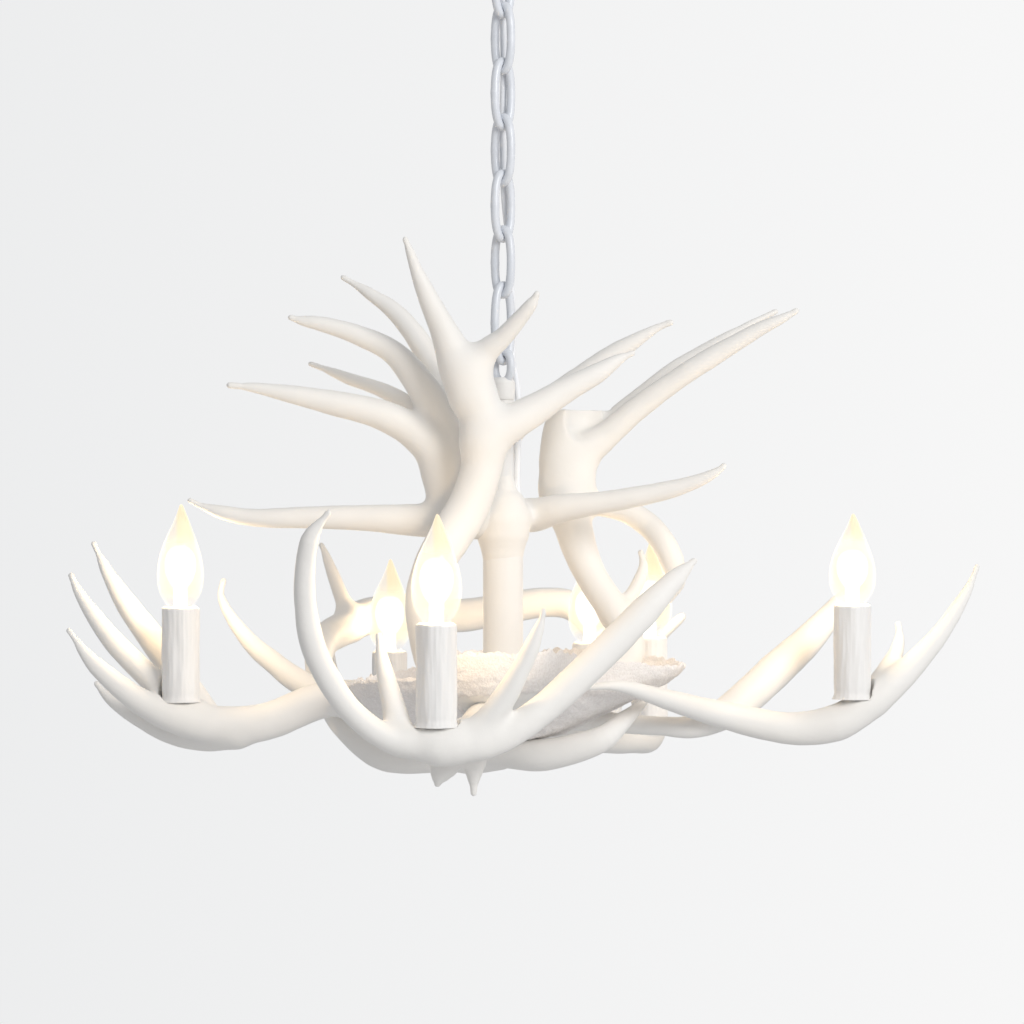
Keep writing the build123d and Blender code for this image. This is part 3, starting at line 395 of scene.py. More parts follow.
# ---------------------------------------------------------------- antlers
# Twelve antlers cast in resin and painted matt white. The lower ones are screwed to the hub
# from inside, and each has a flat seat let into it for its candle. The crown antlers stand on
# the hub, the column and the upper hub. Runs are (x, y, height, radius) down the middle of
# beam and tines, in mm, root to tip.
ANTLERS = {
    "front_antler": [
        [(-43, -200, 9, 13), (-73, -205, 12, 9.5), (-98, -212, 28, 8.5), (-117, -220, 54, 8.5),
         (-129, -226, 82, 8.5), (-133, -234, 116, 7.5), (-129, -244, 149, 6),
         (-116, -250, 168, 1.5)],
        [(-43, -200, 9, 13), (-8, -197, 11, 11), (26, -190, 31, 10.5), (61, -178, 62, 11),
         (96, -163, 96, 10.5), (121, -150, 121, 7.5), (135, -143, 134, 1.5)],
        [(-70, -196, 13, 10.5), (-75, -190, 35, 8), (-81, -186, 58, 6), (-84, -184, 73, 3.5),
         (-85, -183, 83, 1)],
        [(-32, -198, 11, 10.5), (-12, -200, 24, 9), (5, -204, 47, 8), (19, -208, 74, 6),
         (27, -211, 95, 2.5), (28, -212, 101, 1)],
        [(-34, -198, 11, 11.5), (-19, -140, 16, 12.5), (-11, -80, 21, 14), (-4, -20, 20, 14)],
        [(-36, -168, 4, 13), (-40, -168, -7, 10.5), (-44, -168, -16, 5), (-45, -168, -21, 1)],
        [(-19, -160, 4, 10), (-19.5, -160, -7, 8), (-20, -160, -18, 4.5), (-20, -160, -28, 1)],
    ],
    "left_antler": [
        [(-2, 0, 20, 13.5), (-77, 3, 24, 14), (-130, 5, 28, 13.5), (-181, 4, 10, 14),
         (-224, 0, 10, 14), (-247, -4, 16, 13), (-273, -8, 28, 10), (-303, -13, 53, 6.5),
         (-323, -18, 80, 1.5)],
        [(-235, 5, 18, 12), (-268, 15, 45, 9.5), (-290, 20, 65, 8.5), (-309, 25, 88, 6.5),
         (-323, 28, 109, 3.5), (-328, 30, 120, 1)],
        [(-226, 24, 14, 12), (-246, 38, 40, 11.5), (-267, 42, 70, 10.5), (-287, 46, 96, 9),
         (-303, 50, 122, 5), (-314, 52, 144, 1)],
        [(-202, 8, 3, 13), (-229, 16, -2, 10), (-256, 22, 3, 8.5), (-283, 26, 17, 7),
         (-300, 28, 28, 4), (-309, 30, 38, 1)],
        [(-119, 18, 22, 10), (-155, 35, 39, 9.5), (-174, 45, 52, 8.5), (-194, 54, 68, 7),
         (-210, 62, 88, 5), (-218, 67, 104, 3), (-216, 70, 115, 1)],
    ],
    "right_antler": [
        [(59, -92, 42, 1), (85, -80, 42, 4), (119, -45, 31, 7.5), (162, -4, 17, 10),
         (212, 2, 6, 12), (249, 0, 10, 14), (277, 0, 27, 12.5), (302, 6, 47, 10),
         (329, 12, 76, 7), (350, 18, 107, 4), (359, 21, 127, 1)],
        [(278, 10, 27, 11.5), (289, 18, 45, 8.5), (298, 24, 62, 5.5), (301, 27, 73, 3.5),
         (300, 28, 83, 1)],
    ],
    "right_rear_antler": [
        [(13, 2, 17, 10), (73, 2, 11, 8), (114, 3, 8, 7), (144, 8, 7, 9), (176, 24, 21, 13),
         (208, 50, 46, 14), (236, 75, 69, 12), (262, 98, 95, 8.5), (276, 110, 111, 2.5)],
    ],
    "under_antler": [
        [(-2, 0, -12, 13), (-40, 4, -14, 13), (-84, 10, -15, 13), (-110, 25, -2, 12),
         (-129, 50, 18, 11), (-144, 95, 45, 10.5), (-143, 150, 65, 12.5),
         (-129, 200, 74, 14), (-109, 237, 83, 15.5), (-70, 260, 85, 15), (-33, 268, 82, 14),
         (34, 262, 93, 12.5), (63, 250, 86, 12), (78, 235, 62, 8.5), (84, 225, 40, 2.5)],
        [(-25, 2, -13, 13), (2, -18, -10, 12.5), (31, -35, -11, 12), (70, -45, 0, 10),
         (90, -35, 15, 6.5), (108, -25, 30, 1.5)],
        [(-124, 205, 76, 10), (-132, 212, 96, 6.5), (-141, 218, 119, 5), (-147, 221, 135, 3),
         (-150, 222, 141, 1)],
    ],
    "back_left_antler": [
        [(-4, 20, 16, 13), (-28, 100, -12, 12.5), (-62, 160, -26, 12), (-93, 200, -27, 12),
         (-122, 250, -14, 9), (-140, 290, 18, 5), (-147, 310, 54, 1.5)],
        [(-86, 196, -26, 11), (-66, 250, -22, 8), (-52, 288, 4, 5), (-46, 302, 30, 1)],
    ],
    "back_right_antler": [
        [(8, 18, 16, 13), (38, 100, -14, 12), (58, 155, -19, 11.5), (70, 200, -19.5, 11.5),
         (86, 255, -10, 9), (97, 295, 22, 5), (101, 312, 54, 1.5)],
    ],
    "side_rear_antler": [
        [(18, 13, 14, 11), (70, 56, -5, 10.5), (100, 80, -9, 10), (114, 92, -9, 10),
         (119, 112, 2, 9), (109, 124, 16, 7.5), (105, 127, 38, 6.5), (112, 125, 58, 5.5),
         (126, 121, 72, 5), (138, 117, 83, 4), (141, 116, 86, 3)],
    ],
    "crown_right_antler": [
        [(32, 8, 40, 10.5), (66, 22, 39, 10.5), (93, 34, 54, 11), (95, 40, 74, 11.5),
         (83, 43, 95, 12), (68, 47, 118, 12), (58, 52, 141, 13.5), (52, 56, 164, 15),
         (48, 60, 185, 17.5)],
        [(48, 58, 177, 18.5), (46, 62, 208, 18.5), (49, 66, 232, 17.5), (57, 72, 248, 20)],
        [(50, 60, 185, 18.5), (61, 60, 212, 14), (79, 60, 227, 10.5), (102, 58, 247, 9),
         (129, 55, 267, 8.5), (157, 52, 285, 8), (194, 47, 307, 5.5), (215, 44, 317, 3.5),
         (224, 43, 322, 1)],
        [(56, 75, 201, 14), (79, 80, 232, 9.5), (106, 84, 257, 7.5), (138, 88, 282, 6.5),
         (171, 92, 302, 5), (197, 95, 317, 3), (213, 97, 325, 1)],
        [(83, 48, 89, 7.5), (97, 56, 102, 6), (105, 62, 116, 5), (108, 66, 127, 3.5),
         (106, 68, 137, 1)],
        [(53, 62, 178, 13), (73, 65, 174, 8.5), (92, 69, 170, 9), (110, 73, 160, 9.5),
         (122, 68, 147, 9.5), (130, 67, 131, 9.5), (133, 69, 114, 7.5), (129, 70, 100, 2)],
    ],
    "crown_front_antler": [
        [(-28, -20, 32, 10), (-50, -56, 52, 11), (-58, -78, 97, 13), (-51, -74, 128, 14),
         (-40, -62, 148, 15.5), (-26, -50, 170, 15.5), (-16, -45, 199, 15), (-14, -44, 225, 16),
         (-20, -44, 254, 16), (-27, -45, 273, 15.5)],
        [(-24, -44, 254, 16), (-34, -46, 280, 14), (-44, -50, 303, 10), (-54, -54, 324, 7.5),
         (-62, -58, 342, 5.5), (-68, -62, 359, 3.5), (-71, -64, 367, 1)],
        [(-24, -44, 271, 13), (-12, -50, 286, 9.5), (0, -56, 296, 7), (11, -62, 308, 6),
         (21, -68, 320, 4.5), (25, -71, 327, 1.5)],
        [(-15, -44, 221, 16), (3, -42, 232, 14.5), (22, -38, 243, 12), (46, -34, 258, 9.5),
         (70, -30, 271, 7.5), (87, -27, 282, 4), (96, -26, 286, 1)],
    ],
    "crown_left_antler": [
        [(-38, 0, 21, 16.5), (-45, -4, 47, 15.5), (-53, -8, 68, 14), (-71, -12, 84, 12.5),
         (-95, -17, 95, 11), (-125, -22, 102, 9.5), (-154, -27, 108, 7), (-183, -31, 113, 4),
         (-202, -34, 115, 1)],
        [(-8, -2, 17, 16.5), (-58, -6, 15, 12.5), (-108, -9, 17, 9.5), (-151, -12, 17, 8),
         (-185, -15, 17, 6.5), (-209, -17, 21, 5), (-225, -18, 26, 2.5), (-233, -19, 30, 1)],
        [(-40, 8, 57, 13.5), (-42, 12, 91, 12), (-50, 18, 125, 10), (-64, 24, 151, 8.5),
         (-81, 30, 172, 7), (-101, 34, 187, 5), (-122, 37, 200, 1)],
        [(-41, 2, 53, 16), (-45, 0, 79, 14), (-55, -3, 105, 12.5), (-67, -6, 124, 11),
         (-84, -9, 142, 9), (-107, -12, 153, 7.5), (-133, -15, 161, 6), (-151, -17, 164, 3.5),
         (-158, -18, 166, 1.5)],
        [(-42, 25, 53, 11.5), (-54, 32, 82, 9), (-73, 40, 103, 7), (-94, 46, 115, 5.5),
         (-117, 50, 123, 4.5), (-137, 53, 131, 2.5), (-148, 55, 135, 1)],
    ],
    "crown_rear_antler": [
        [(0, 0, -32, 13.5), (0, 0, -14, 15), (0, 0, -3, 17), (0, 0, 7, 20), (0, 0, 15, 21),
         (0, 0, 23, 18), (0, 0, 31, 12.5), (0, 0, 42, 9), (0, 0, 54, 7)],
        [(-4, 26, 20, 12), (22, 21, 19, 13), (44, 5, 24, 10.5), (85, -3, 30, 8),
         (121, -6, 37, 7), (147, -9, 45, 5), (162, -11, 53, 2.5), (165, -11, 56, 1)],
        [(-2, 22, 21, 13), (-5, 33, 59, 13), (4, 36, 82, 12), (24, 36, 99, 10.5),
         (49, 34, 116, 9.5), (75, 32, 135, 8.5), (98, 30, 150, 6), (117, 28, 161, 3),
         (127, 27, 165, 1)],
    ],
}
ON_UPPER_HUB = ("crown_left_antler", "crown_rear_antler")
# Candles: the antler each stands on, its place and the height of its seat above the hub
CANDLES = {
    "front": ("front_antler", -45, -200, 21),
    "left": ("left_antler", -242, 0, 26),
    "right": ("right_antler", 262, 0, 28),
    "back_left": ("back_left_antler", -93, 200, -16),
    "back_right": ("back_right_antler", 70, 200, -9),
    "side_rear": ("side_rear_antler", 114, 90, 0),
}
SLEEVE_LENGTH = 72.0
CAST_GRAIN = 1.3      # mm, the finest form that the mesh holds
REACH = 12.0                                 # mm, how far round a run its surface is felt
FORK_EASE = 9.0                              # mm, how softly a tine grows out of its beam
BLUNT_TIP = 2.4                              # mm, the roundness of the tines' tips
SEAT_RADIUS = 16.3                           # mm, the flat seat let in for a candle

cast_resin = Finish("cast_resin", Specular_IOR_Level=0.3)
worn = cast_resin.grain(38, 3)
cast_resin.set(Base_Color=cast_resin.mix(worn, (0.86, 0.84, 0.805), (0.91, 0.893, 0.862)),
               Roughness=0.48 + 0.16 * cast_resin.grain(9, 3))
cast_resin.relief(cast_resin.grain(7, 3) * 0.8 + cast_resin.grain(1.2, 3) * 0.2, 0.22)


def smooth_line(run, datum):
    """Points and radii every few millimetres along a smooth line through a run's points."""
    marks = np.array(run, float)
    marks[:, 2] += datum
    marks = np.vstack([2 * marks[0] - marks[1], marks, 2 * marks[-1] - marks[-2]])
    line = []
    for a, b, c, d in zip(marks, marks[1:], marks[2:], marks[3:]):
        steps = max(2, int(np.linalg.norm((c - b)[:3]) / 4))
        for t in np.arange(steps) / steps:
            line.append(0.5 * (2 * b + (c - a) * t + (2 * a - 5 * b + 4 * c - d) * t * t
                               + (3 * b - a - 3 * c + d) * t ** 3))
    line.append(marks[-2])
    line = np.array(line)
    ends = np.cumsum([0] + [max(2, int(np.linalg.norm((c - b)[:3]) / 4))
                            for b, c in zip(marks[1:-2], marks[2:-1])])
    line[:, 3] = np.interp(np.arange(len(line)), ends, marks[1:-1, 3])
    line[:, 3] = np.maximum(line[:, 3], BLUNT_TIP)
    return line


def distance_field(runs, datum, hollows, bowl=None):
    """Distances to a cast antler on a grid: its runs merged, less (x, y, low, high, radius).

    A bowl (x, y, z, radius) is scooped from the first two runs only.
    """
    lines = [smooth_line(run, datum) for run in runs]
    every = np.vstack(lines)
    margin = every[:, 3:].max() + 4
    low = np.floor((every[:, :3].min(0) - margin) / CAST_GRAIN) * CAST_GRAIN
    size = np.ceil((every[:, :3].max(0) + margin - low) / CAST_GRAIN).astype(int) + 1
    axes = [(low[n] + CAST_GRAIN * np.arange(size[n])).astype(np.float32) for n in range(3)]
    whole = np.full(size, REACH, np.float32)
    for number, line in enumerate(lines):
        if bowl and number == 2:
            scoop = [axes[n] - bowl[n] for n in range(3)]
            inside = bowl[3] - np.sqrt(scoop[0][:, None, None] ** 2 + scoop[1][None, :, None] ** 2
                                       + scoop[2][None, None, :] ** 2)
            whole = np.maximum(whole, np.minimum(inside, REACH))
        alone = np.full(size, REACH, np.float32)
        for start, end in zip(line, line[1:]):
            span = end[:3] - start[:3]
            feel = max(start[3], end[3]) + REACH
            first = np.minimum(start[:3], end[:3]) - feel
            last = np.maximum(start[:3], end[:3]) + feel
            a = np.maximum(((first - low) / CAST_GRAIN).astype(int), 0)
            b = np.minimum(((last - low) / CAST_GRAIN).astype(int) + 2, size)
            x = axes[0][a[0]:b[0], None, None] - start[0]
            y = axes[1][None, a[1]:b[1], None] - start[1]
            z = axes[2][None, None, a[2]:b[2]] - start[2]
            share = np.clip((x * span[0] + y * span[1] + z * span[2]) / (span @ span), 0, 1)
            away = np.sqrt((x - share * span[0]) ** 2 + (y - share * span[1]) ** 2
                           + (z - share * span[2]) ** 2)
            away -= start[3] + share * (end[3] - start[3])
            part = alone[a[0]:b[0], a[1]:b[1], a[2]:b[2]]
            np.minimum(part, away, out=part)
        blend = np.maximum(FORK_EASE - np.abs(whole - alone), 0)
        blend[(whole >= REACH) | (alone >= REACH)] = 0
        whole = np.minimum(whole, alone) - blend ** 2 / (4 * FORK_EASE)
    for x, y, floor, ceiling, radius in hollows:
        across = np.hypot(axes[0][:, None] - x, axes[1][None, :] - y) - radius
        up = np.maximum(floor - axes[2], axes[2] - ceiling)
        whole = np.maximum(whole, -np.maximum(across[:, :, None], up[None, None, :]))
    return whole, low


def cast(name, runs, datum, hollows, bowl=None):
    """A cast antler's piece, from its distance field."""
    field, low = distance_field(runs, datum, hollows, bowl)
    grid = openvdb.FloatGrid(REACH)
    grid.copyFromArray(field)
    points, quads = grid.convertToQuads()
    points = (np.array(points) * CAST_GRAIN + low) * MM
    piece = made_of(name, points.tolist(), np.array(quads)[:, ::-1].tolist(), cast_resin, crease=80)
    soften = piece.modifiers.new("soften", "SMOOTH")
    soften.factor, soften.iterations = 0.5, 4
    bpy.context.view_layer.update()
    cured = bpy.data.meshes.new_from_object(piece.evaluated_get(bpy.context.evaluated_depsgraph_get()))
    piece.modifiers.clear()
    piece.data = cured
    normals = [n.vector.copy() for n in cured.vertex_normals]
    for vertex, normal in zip(cured.vertices, normals):        # cast antler is never quite even
        wander = noise.noise(vertex.co / 0.028) * 0.55 + noise.noise(vertex.co / 0.011) * 0.22
        vertex.co += normal * wander * MM
    return piece


HUB_HOLLOWS = [(0, 0, HUB_Z - 1, HUB_Z + 54, 38.8), (0, 0, COLUMN_TOP - 94, COLUMN_TOP, 13),
               (0, 0, COLUMN_TOP, COLUMN_TOP + 34, 13), (0, 0, COLUMN_TOP + 33, COLUMN_TOP + 106, 6.5)]
BURR_CUT = (55, 73, HUB_Z + 247, HUB_Z + 290, 30)     # sawn top of the crown's right beam
BURR_BOWL = (73, 42, HUB_Z + 241, 27)                 # and the hollow worn in its side
for name, runs in ANTLERS.items():
    datum = COLUMN_TOP if name in ON_UPPER_HUB else HUB_Z
    hollows = list(HUB_HOLLOWS)
    for owner, x, y, seat in CANDLES.values():
        if owner == name:
            hollows.append((x, y, HUB_Z + seat, HUB_Z + seat + SLEEVE_LENGTH, SEAT_RADIUS))
    bowl = None
    if name == "crown_right_antler":
        hollows.append(BURR_CUT)
        bowl = BURR_BOWL
    mount(cast(f"cast_{name}", runs, datum, hollows, bowl), "lamp", "antler_resin", name)

# ---------------------------------------------------------------- dish
# A rough resin dish round the lower hub. Its gritty coat ends in a torn edge over the smooth
# bowl, and its torn rim is worn low on the left. It rests on the roots of the lower antlers,
# which pass through its wall.
DISH_OUTSIDE = [(41, 0), (50, 2.5), (60, 7), (70, 12), (81, 17), (93, 22.5), (105, 28), (116, 34),
                (124, 40), (129, 46), (132, 52), (134, 60), (135, 72)]
DISH_LEAN = math.tan(math.radians(3.2))       # the bowl climbs to the right
DISH_SPREAD = 0.065           # and is wider there by this share
DISH_BROAD = 129.0            # mm, the radius at which spread and dents are told
# Dents: bearing and width in degrees, depth as a share, beside a candle and an antler's tip
DISH_DENTS = [(38, 14, 0.09), (-50, 26, 0.25)]
# Height of the torn rim at bearings round the dish, in degrees from the right
RIM = [(-180, 38), (-150, 43), (-128, 48), (-117, 50), (-110, 66), (-72, 69), (-55, 64), (-35, 58),
       (-15, 53), (0, 53), (40, 57), (90, 58), (107, 56), (125, 45), (150, 40), (180, 38)]
# Where the gritty coat's lower edge lies: bearing, and share of the way up the dish's side
COAT_EDGE = [(-150, 0), (-140, 0.37), (-106, 0.37), (-104, 0.7), (-69, 0.7), (-67, 0)]
DISH_WALL = 3.0
DISH_STEPS = 96
DISH_SIDES = 540
grit = Finish("dish_grit", Specular_IOR_Level=0.2)
speck = grit.grain(1.5, 4).rise(0.3, 0.7)
patchy = grit.grain(14, 3)
grit.set(Base_Color=grit.mix(speck * 0.6 + patchy * 0.4, (0.83, 0.785, 0.755), (0.975, 0.945, 0.92)),
         Roughness=0.8)
grit.relief(grit.grain(4, 4) * 0.4 + grit.grain(1.2, 3) * 0.6, 1.3)

profile = np.array(DISH_OUTSIDE)
lengths = np.append(0, np.cumsum(np.hypot(*np.diff(profile, axis=0).T)))
lengths /= lengths[-1]


def torn(bearing, seed):
    """How far a torn edge wanders, from about -1 to 1, at a bearing round the dish."""
    return (0.6 * noise.noise(bearing * 3 + seed) + 0.4 * noise.noise(bearing * 11 + seed)
            + 0.5 * noise.noise(bearing * 30 + seed) + 0.4 * noise.noise(bearing * 75 + seed))


def bare(bearing):
    """How far up the dish's side its smooth bowl shows, below the torn edge of its gritty coat."""
    around = math.degrees(math.atan2(bearing.y, bearing.x)) + 5 * torn(bearing, Vector((0, 0, 2)))
    up = np.interp(around, *zip(*COAT_EDGE))
    return up + (0.05 * torn(bearing, Vector((0, 0, 5))) if 0 < up < 1 else 0)


def bowl(bearing, share, wall):
    """A point of the dish at a bearing, a share of the way up, outside or inside its wall."""
    along = bearing.x
    r = np.interp(share, lengths, profile[:, 0]) - wall * 0.6 * DISH_WALL
    z = np.interp(share, lengths, profile[:, 1]) + wall * 0.8 * DISH_WALL + r * along * DISH_LEAN
    r *= 1 + DISH_SPREAD * along * (r / DISH_BROAD) ** 2
    around = math.degrees(math.atan2(bearing.y, bearing.x))
    dent = sum(depth * math.exp(-((around - at) / width) ** 2) for at, width, depth in DISH_DENTS)
    r *= 1 - dent * (r / DISH_BROAD) ** 4
    return Vector((bearing.x * r, bearing.y * r, z))


points, edges = [], []
for side in range(DISH_SIDES):
    turn = 2 * math.pi * side / DISH_SIDES
    bearing = Vector((math.cos(turn), math.sin(turn), 0))
    around = math.degrees(math.atan2(bearing.y, bearing.x))
    rim = np.interp(around, *zip(*RIM)) + 4.5 * torn(bearing, Vector((0, 0, 7)))
    climb = np.linspace(0.4, 1, 150)
    heights = np.array([bowl(bearing, at, 0).z for at in climb])
    edge = np.interp(rim, heights, climb)
    smooth_to = bare(bearing)
    edges.append((edge, smooth_to))
    for wall in (0, 1):
        for step in range(DISH_STEPS):
            at = edge * step / (DISH_STEPS - 1)
            thinner = 1 - 0.6 * (step / DISH_STEPS) ** 12         # towards the rim
            spot = bowl(bearing, at, wall * thinner)
            coat = 1.0 if wall else min(max((at - smooth_to) / 0.012, 0.0), 1.0)
            rough = coat * (0.9 * noise.noise(spot / 7) + 0.5 * noise.noise(spot / 2.6) + 1.1)
            spot += (bearing * 0.55 - Vector((0, 0, 0.83))) * (rough - 1.1 * wall) * (1 - 2 * wall)
            points.append((spot.x * MM, spot.y * MM, (spot.z + HUB_Z) * MM))
count = 2 * DISH_STEPS
ring = list(range(DISH_STEPS)) + list(range(count - 1, DISH_STEPS - 1, -1))
faces = [(a * count + p, a * count + q, (a + 1) % DISH_SIDES * count + q,
          (a + 1) % DISH_SIDES * count + p)
         for a in range(DISH_SIDES) for p, q in zip(ring, ring[1:] + ring[:1])]
dish = mount(made_of("torn_dish", points, faces, grit), "lamp", "dish_resin", "hub_dish")
dish.data.materials.append(cast_resin.block)
for face in dish.data.polygons:
    side, step = divmod(face.index, count)
    edge, smooth_to = edges[side]
    if edge * step / (DISH_STEPS - 1) < smooth_to and step < DISH_STEPS - 1:
        face.material_index = 1

# ---------------------------------------------------------------- candle lights
# Each candle is a wax-like drip sleeve on a flat seat, over a lamp socket. Its bulb has a
# screw cap and a flame-tip glass, and is lit: a white core, a warm halo and a light within.
SLEEVE_RADIUS = 14.0
SLEEVE_MOST = 14.5            # the streaks of wax stand out no farther
SLEEVE_BORE = 10.6
SLEEVE_LIP = 3.0              # height over which the top is rounded
GLASS_OUTLINE = [(6.4, -5.7), (7.4, -3), (9.6, 0), (12.6, 4), (15.4, 9.5), (17.1, 16.5),
                 (17.5, 24), (16.8, 31.5), (15.0, 39.5), (12.5, 47), (9.7, 54), (6.9, 60.5),
                 (4.5, 66.5), (2.6, 71.5), (1.2, 75.3), (0, 76.3)]
# Lengths of the six glasses against the longest
GLASS_STRETCH = {"front": 0.97, "left": 1.0, "right": 0.88, "back_left": 0.97, "back_right": 0.95,
                 "side_rear": 0.95}
GLASS_WALL = 0.9
GLASS_BENDS_FROM = 44.0       # the flame's tip wavers above this height
CORE_MIDDLE, CORE_HEIGHT, CORE_RADIUS = 28.5, 17.0, 11.6
HALO_SIZES = (1.14, 1.27, 1.38)       # against the core
NEAR_POWER, FAR_POWER = 0.26, 0.10    # watts of the lights in front and behind
wax = Finish("drip_wax", Specular_IOR_Level=0.35)
streak = wax.grain(6.5, 3, (1, 1, 0.14)).rise(0.25, 0.75) * 0.7 + wax.grain(2.4, 3, (1, 1, 0.12)) * 0.3
wax.set(Base_Color=wax.mix(streak, (0.83, 0.815, 0.795), (0.92, 0.91, 0.895)),
        Roughness=0.5 + 0.15 * wax.grain(4))
wax.relief(streak * 0.8 + wax.grain(1.5, 3) * 0.2, 0.5)

socket_plastic = Finish("socket_plastic", Specular_IOR_Level=0.45)
socket_plastic.set(Base_Color=socket_plastic.mix(socket_plastic.grain(9), (0.74, 0.72, 0.68),
                                                 (0.80, 0.78, 0.74)),
                   Roughness=0.4 + 0.1 * socket_plastic.grain(3))
cap_metal = Finish("cap_metal", Metallic=1.0)
cap_metal.set(Base_Color=cap_metal.mix(cap_metal.grain(3), (0.66, 0.60, 0.46), (0.80, 0.74, 0.60)),
              Roughness=0.25 + 0.15 * cap_metal.grain(2))

bulb_glass = Finish("bulb_glass", Specular_IOR_Level=0.5, Emission_Strength=1.0)
across = bulb_glass.node("ShaderNodeSeparateXYZ", {}, {0: bulb_glass.place}) * 1000
height = bulb_glass.node("ShaderNodeSeparateXYZ", {}, {0: bulb_glass.place}, 2) * 1000
crease = (across + height * 0.05).rise(-0.6, 2.4)
pearl = bulb_glass.mix(crease, (0.70, 0.65, 0.58), (0.82, 0.68, 0.44))
body = bulb_glass.mix(height.rise(36, 56), (0.95, 0.85, 0.62), pearl)
bulb_glass.set(Base_Color=bulb_glass.mix(height.rise(20, 50), (0.10, 0.10, 0.10), (0.25, 0.24, 0.22)),
               Emission_Color=bulb_glass.mix(height.rise(1, 12), (0.62, 0.63, 0.66), body),
               Alpha=0.20 + 0.12 * height.rise(2, 16) + 0.44 * height.rise(36, 54),
               Roughness=0.08 + 0.06 * bulb_glass.grain(12))
halo = Finish("bulb_halo", Base_Color=(0.1, 0.09, 0.07), Emission_Strength=1.0, Roughness=0.9,
              Specular_IOR_Level=0.0)
middle_out = [halo.node("ShaderNodeSeparateXYZ", {}, {0: halo.place}, n) * 1000 for n in range(3)]
away = middle_out[0] ** 2 + middle_out[1] ** 2 + ((middle_out[2] - CORE_MIDDLE) * 0.68) ** 2
halo.set(Emission_Color=halo.mix(away.rise(130, 270), (1.0, 0.985, 0.93), (1.0, 0.89, 0.64)),
         Alpha=0.20 + 0.26 * (1 - away.rise(130, 270)))
glow = Finish("bulb_glow", Base_Color=(0.2, 0.2, 0.2), Emission_Strength=3.5)
glow.set(Emission_Color=glow.mix(glow.grain(11), (1.0, 0.97, 0.92), (1.0, 1.0, 0.98)))


def candle_sleeve(name, x, y, foot):
    """A tube of drip wax: flared foot, streaks down its side, rounded uneven top, bore."""
    sides, rows = ((120, 84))
    points = []
    for side in range(sides):
        t = 2 * math.pi * side / sides
        c, s = math.cos(t), math.sin(t)
        top = SLEEVE_LENGTH - 0.6 + 0.6 * noise.noise(Vector((c * 1.7 + x, s * 1.7 + y, 3)))
        for row in range(rows):
            up = row / (rows - 1)
            height = top * up
            flare = 1.8 * math.exp(-height / 2.4) - 0.5 * math.exp(-((height - 4.5) / 3) ** 2)
            spot = Vector((c * 2.4 + x * 0.37, s * 2.4 + y * 0.37, height * 0.024))
            fine = Vector((c * 6.5 + x, s * 6.5, height * 0.045))
            lip = max(0.0, (height - top + SLEEVE_LIP) / SLEEVE_LIP)
            drip = (0.8 * noise.noise(spot) + 0.4 * noise.noise(fine)) * (1 - lip ** 2)
            radius = min(SLEEVE_RADIUS + drip, SLEEVE_MOST) + flare
            radius -= 2.4 * (1 - math.sqrt(1 - lip * lip))
            points.append(((x + radius * c) * MM, (y + radius * s) * MM, (foot + height) * MM))
        for height in (top - 0.3, 0):
            points.append(((x + SLEEVE_BORE * c) * MM, (y + SLEEVE_BORE * s) * MM, (foot + height) * MM))
    count = rows + 2
    faces = [(a * count + n, a * count + (n + 1) % count, (a + 1) % sides * count + (n + 1) % count,
              (a + 1) % sides * count + n) for a in range(sides) for n in range(count)]
    return made_of(f"wax_sleeve_{name}", points, faces, wax, crease=60)


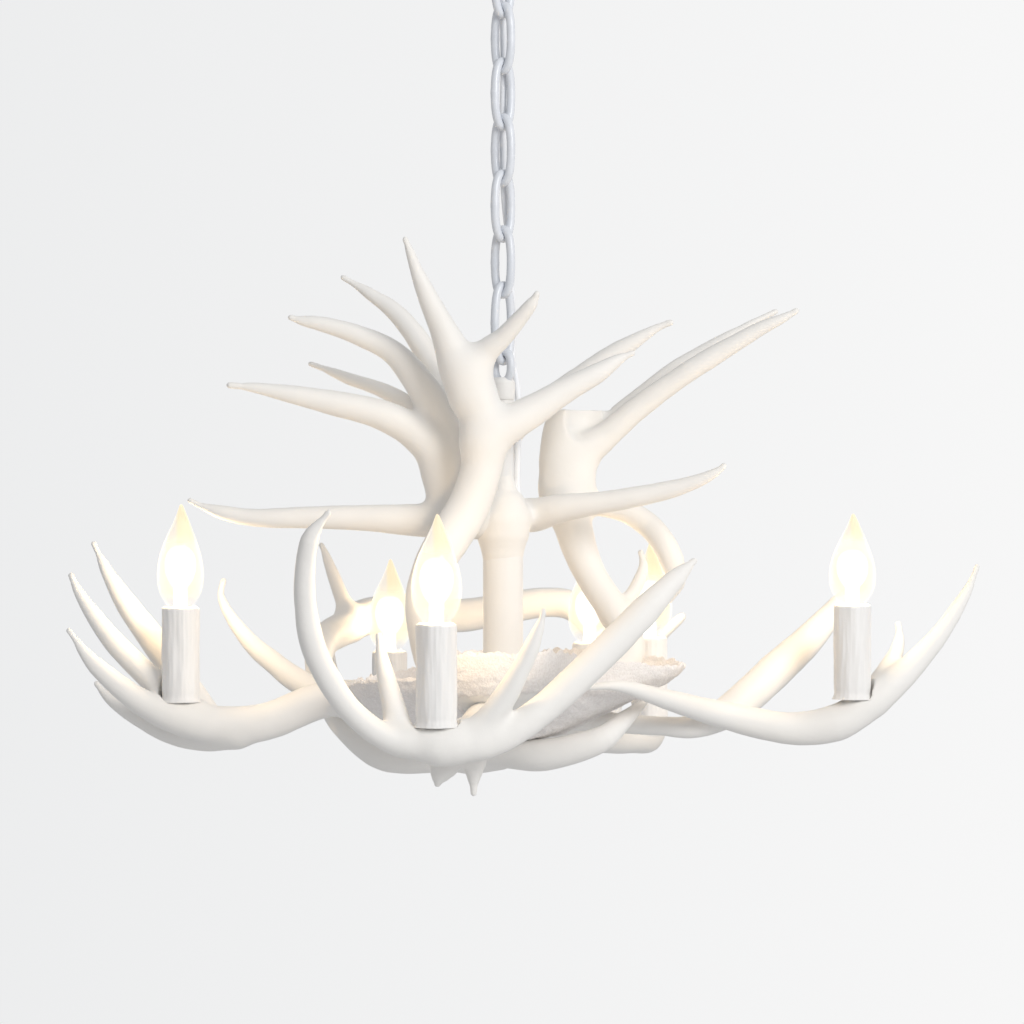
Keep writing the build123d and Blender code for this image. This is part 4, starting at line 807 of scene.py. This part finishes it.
for name, (owner, x, y, seat) in CANDLES.items():
    foot = HUB_Z + seat
    top = foot + SLEEVE_LENGTH
    mount(candle_sleeve(name, x, y, foot), "lamp", "candle_wax_white", f"candle_sleeve_{name}")
    for node, finish in ((f"socket_{name}", socket_plastic), (f"bulb_cap_{name}", cap_metal)):
        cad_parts[node].data.materials.clear()
        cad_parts[node].data.materials.append(finish.block)
    stretch = GLASS_STRETCH[name]
    outside = [(r, z * stretch) for r, z in GLASS_OUTLINE]
    inside = [(max(r - GLASS_WALL, 0), z) for r, z in outside[:-1]] + [(0, 75 * stretch)]
    glass = turned(f"flame_glass_{name}", outside + inside[::-1], bulb_glass, ease=0.2, sides=64)
    for vertex in glass.data.vertices:
        up = max(0.0, vertex.co.z / MM / stretch - GLASS_BENDS_FROM) / 32
        vertex.co.x += (0.9 * math.sin(3 * up) * up + 0.5 * up) * MM
    mount(glass, f"bulb_{name}", "bulb_glass", f"bulb_glass_{name}")
    middle = CORE_MIDDLE * stretch
    lit = [glass]
    for number, grow in enumerate((1.0, *HALO_SIZES)):
        egg = [(CORE_RADIUS * grow * math.sin(t) * (1 - 0.13 * math.cos(t)),
                middle - CORE_HEIGHT * grow * math.cos(t) * stretch)
               for t in np.linspace(0, math.pi, 25)]
        if number == 0:
            egg[:4] = [(0, -3), (5.0, -3), (4.8, 4), (5.2, middle - 0.93 * CORE_HEIGHT * stretch)]
        shell = turned(f"bulb_glow_{name}_{number}", egg, halo if number else glow, ease=0.3, sides=48)
        lit.append(mount(shell, f"bulb_{name}", "bulb_glass"))
    light = bpy.data.lights.new(f"bulb_light_{name}", "POINT")
    light.energy = NEAR_POWER if name in ("front", "left", "right") else FAR_POWER
    light.color, light.shadow_soft_size = (1.0, 0.72, 0.40), 0.009
    bulb_light = bpy.data.objects.new(f"bulb_light_{name}", light)
    bulb_light.location = (0, 0, middle * MM)
    bpy.context.scene.collection.objects.link(bulb_light)
    bulb_light.parent = lit[1]
    for piece in lit:
        piece.location = (x * MM, y * MM, top * MM)
        piece.visible_shadow = piece.visible_diffuse = False

# ---------------------------------------------------------------- room and light
# A plain pale floor well under the lamp, a broad soft light in front, to the right and above,
# and an even pale room, whose pale wall is what shows behind the lamp. The wall has painted
# shade that darkens it towards the left, as if the soft light on the right fell across it.
FLOOR_Z = -1.6
FLOOR_RADIUS = 3.0
ROOM_SHADE = 0.5              # how much dimmer the room's light is than its wall looks
SOFT_LIGHT_AT = (1.5, -2.2, 0.65)
SOFT_LIGHT_TOWARDS = (0, 0, -0.5)
floor_paint = Finish("floor_paint", Specular_IOR_Level=0.2)
floor_paint.set(Base_Color=floor_paint.mix(floor_paint.grain(300), (0.80, 0.80, 0.81),
                                           (0.84, 0.84, 0.84)), Roughness=0.7)
floor_turns = [math.pi * n / 32 for n in range(64)]
floor_edge = [(FLOOR_RADIUS * math.cos(t), FLOOR_RADIUS * math.sin(t), FLOOR_Z) for t in floor_turns]
floor = made_of("pale_floor", floor_edge, [range(64)], floor_paint)

room = Finish("room", "worlds", "Background")
level = room.node("ShaderNodeTexCoord", output="Generated")
painted_shade_across = room.node("ShaderNodeSeparateXYZ", {}, {0: level})
# Painted shade: the wall seen behind the lamp grows darker towards the left, as if lit from the right
wall = room.mix(0.5 + 3.0 * painted_shade_across, (0.845, 0.85, 0.855), (0.93, 0.93, 0.93))
paths = room.tree.nodes.new("ShaderNodeLightPath").outputs
seen = Wire(room, paths["Is Camera Ray"]) + Wire(room, paths["Is Glossy Ray"]) \
    + Wire(room, paths["Is Transmission Ray"])
room.set(Color=room.mix(seen, (0.90, 0.91, 0.93), wall), Strength=1 - ROOM_SHADE * (1 - seen))
bpy.context.scene.world = room.block

soft = bpy.data.lights.new("soft_light", "AREA")
soft.shape, soft.size, soft.energy, soft.color = "DISK", 1.4, 46.0, (1.0, 0.99, 0.975)
soft_light = bpy.data.objects.new("soft_light", soft)
soft_light.location = SOFT_LIGHT_AT
aim = Vector(SOFT_LIGHT_TOWARDS) - soft_light.location
soft_light.rotation_euler = aim.to_track_quat("-Z", "Y").to_euler()
bpy.context.scene.collection.objects.link(soft_light)

bpy.context.scene.view_settings.view_transform = "Standard"
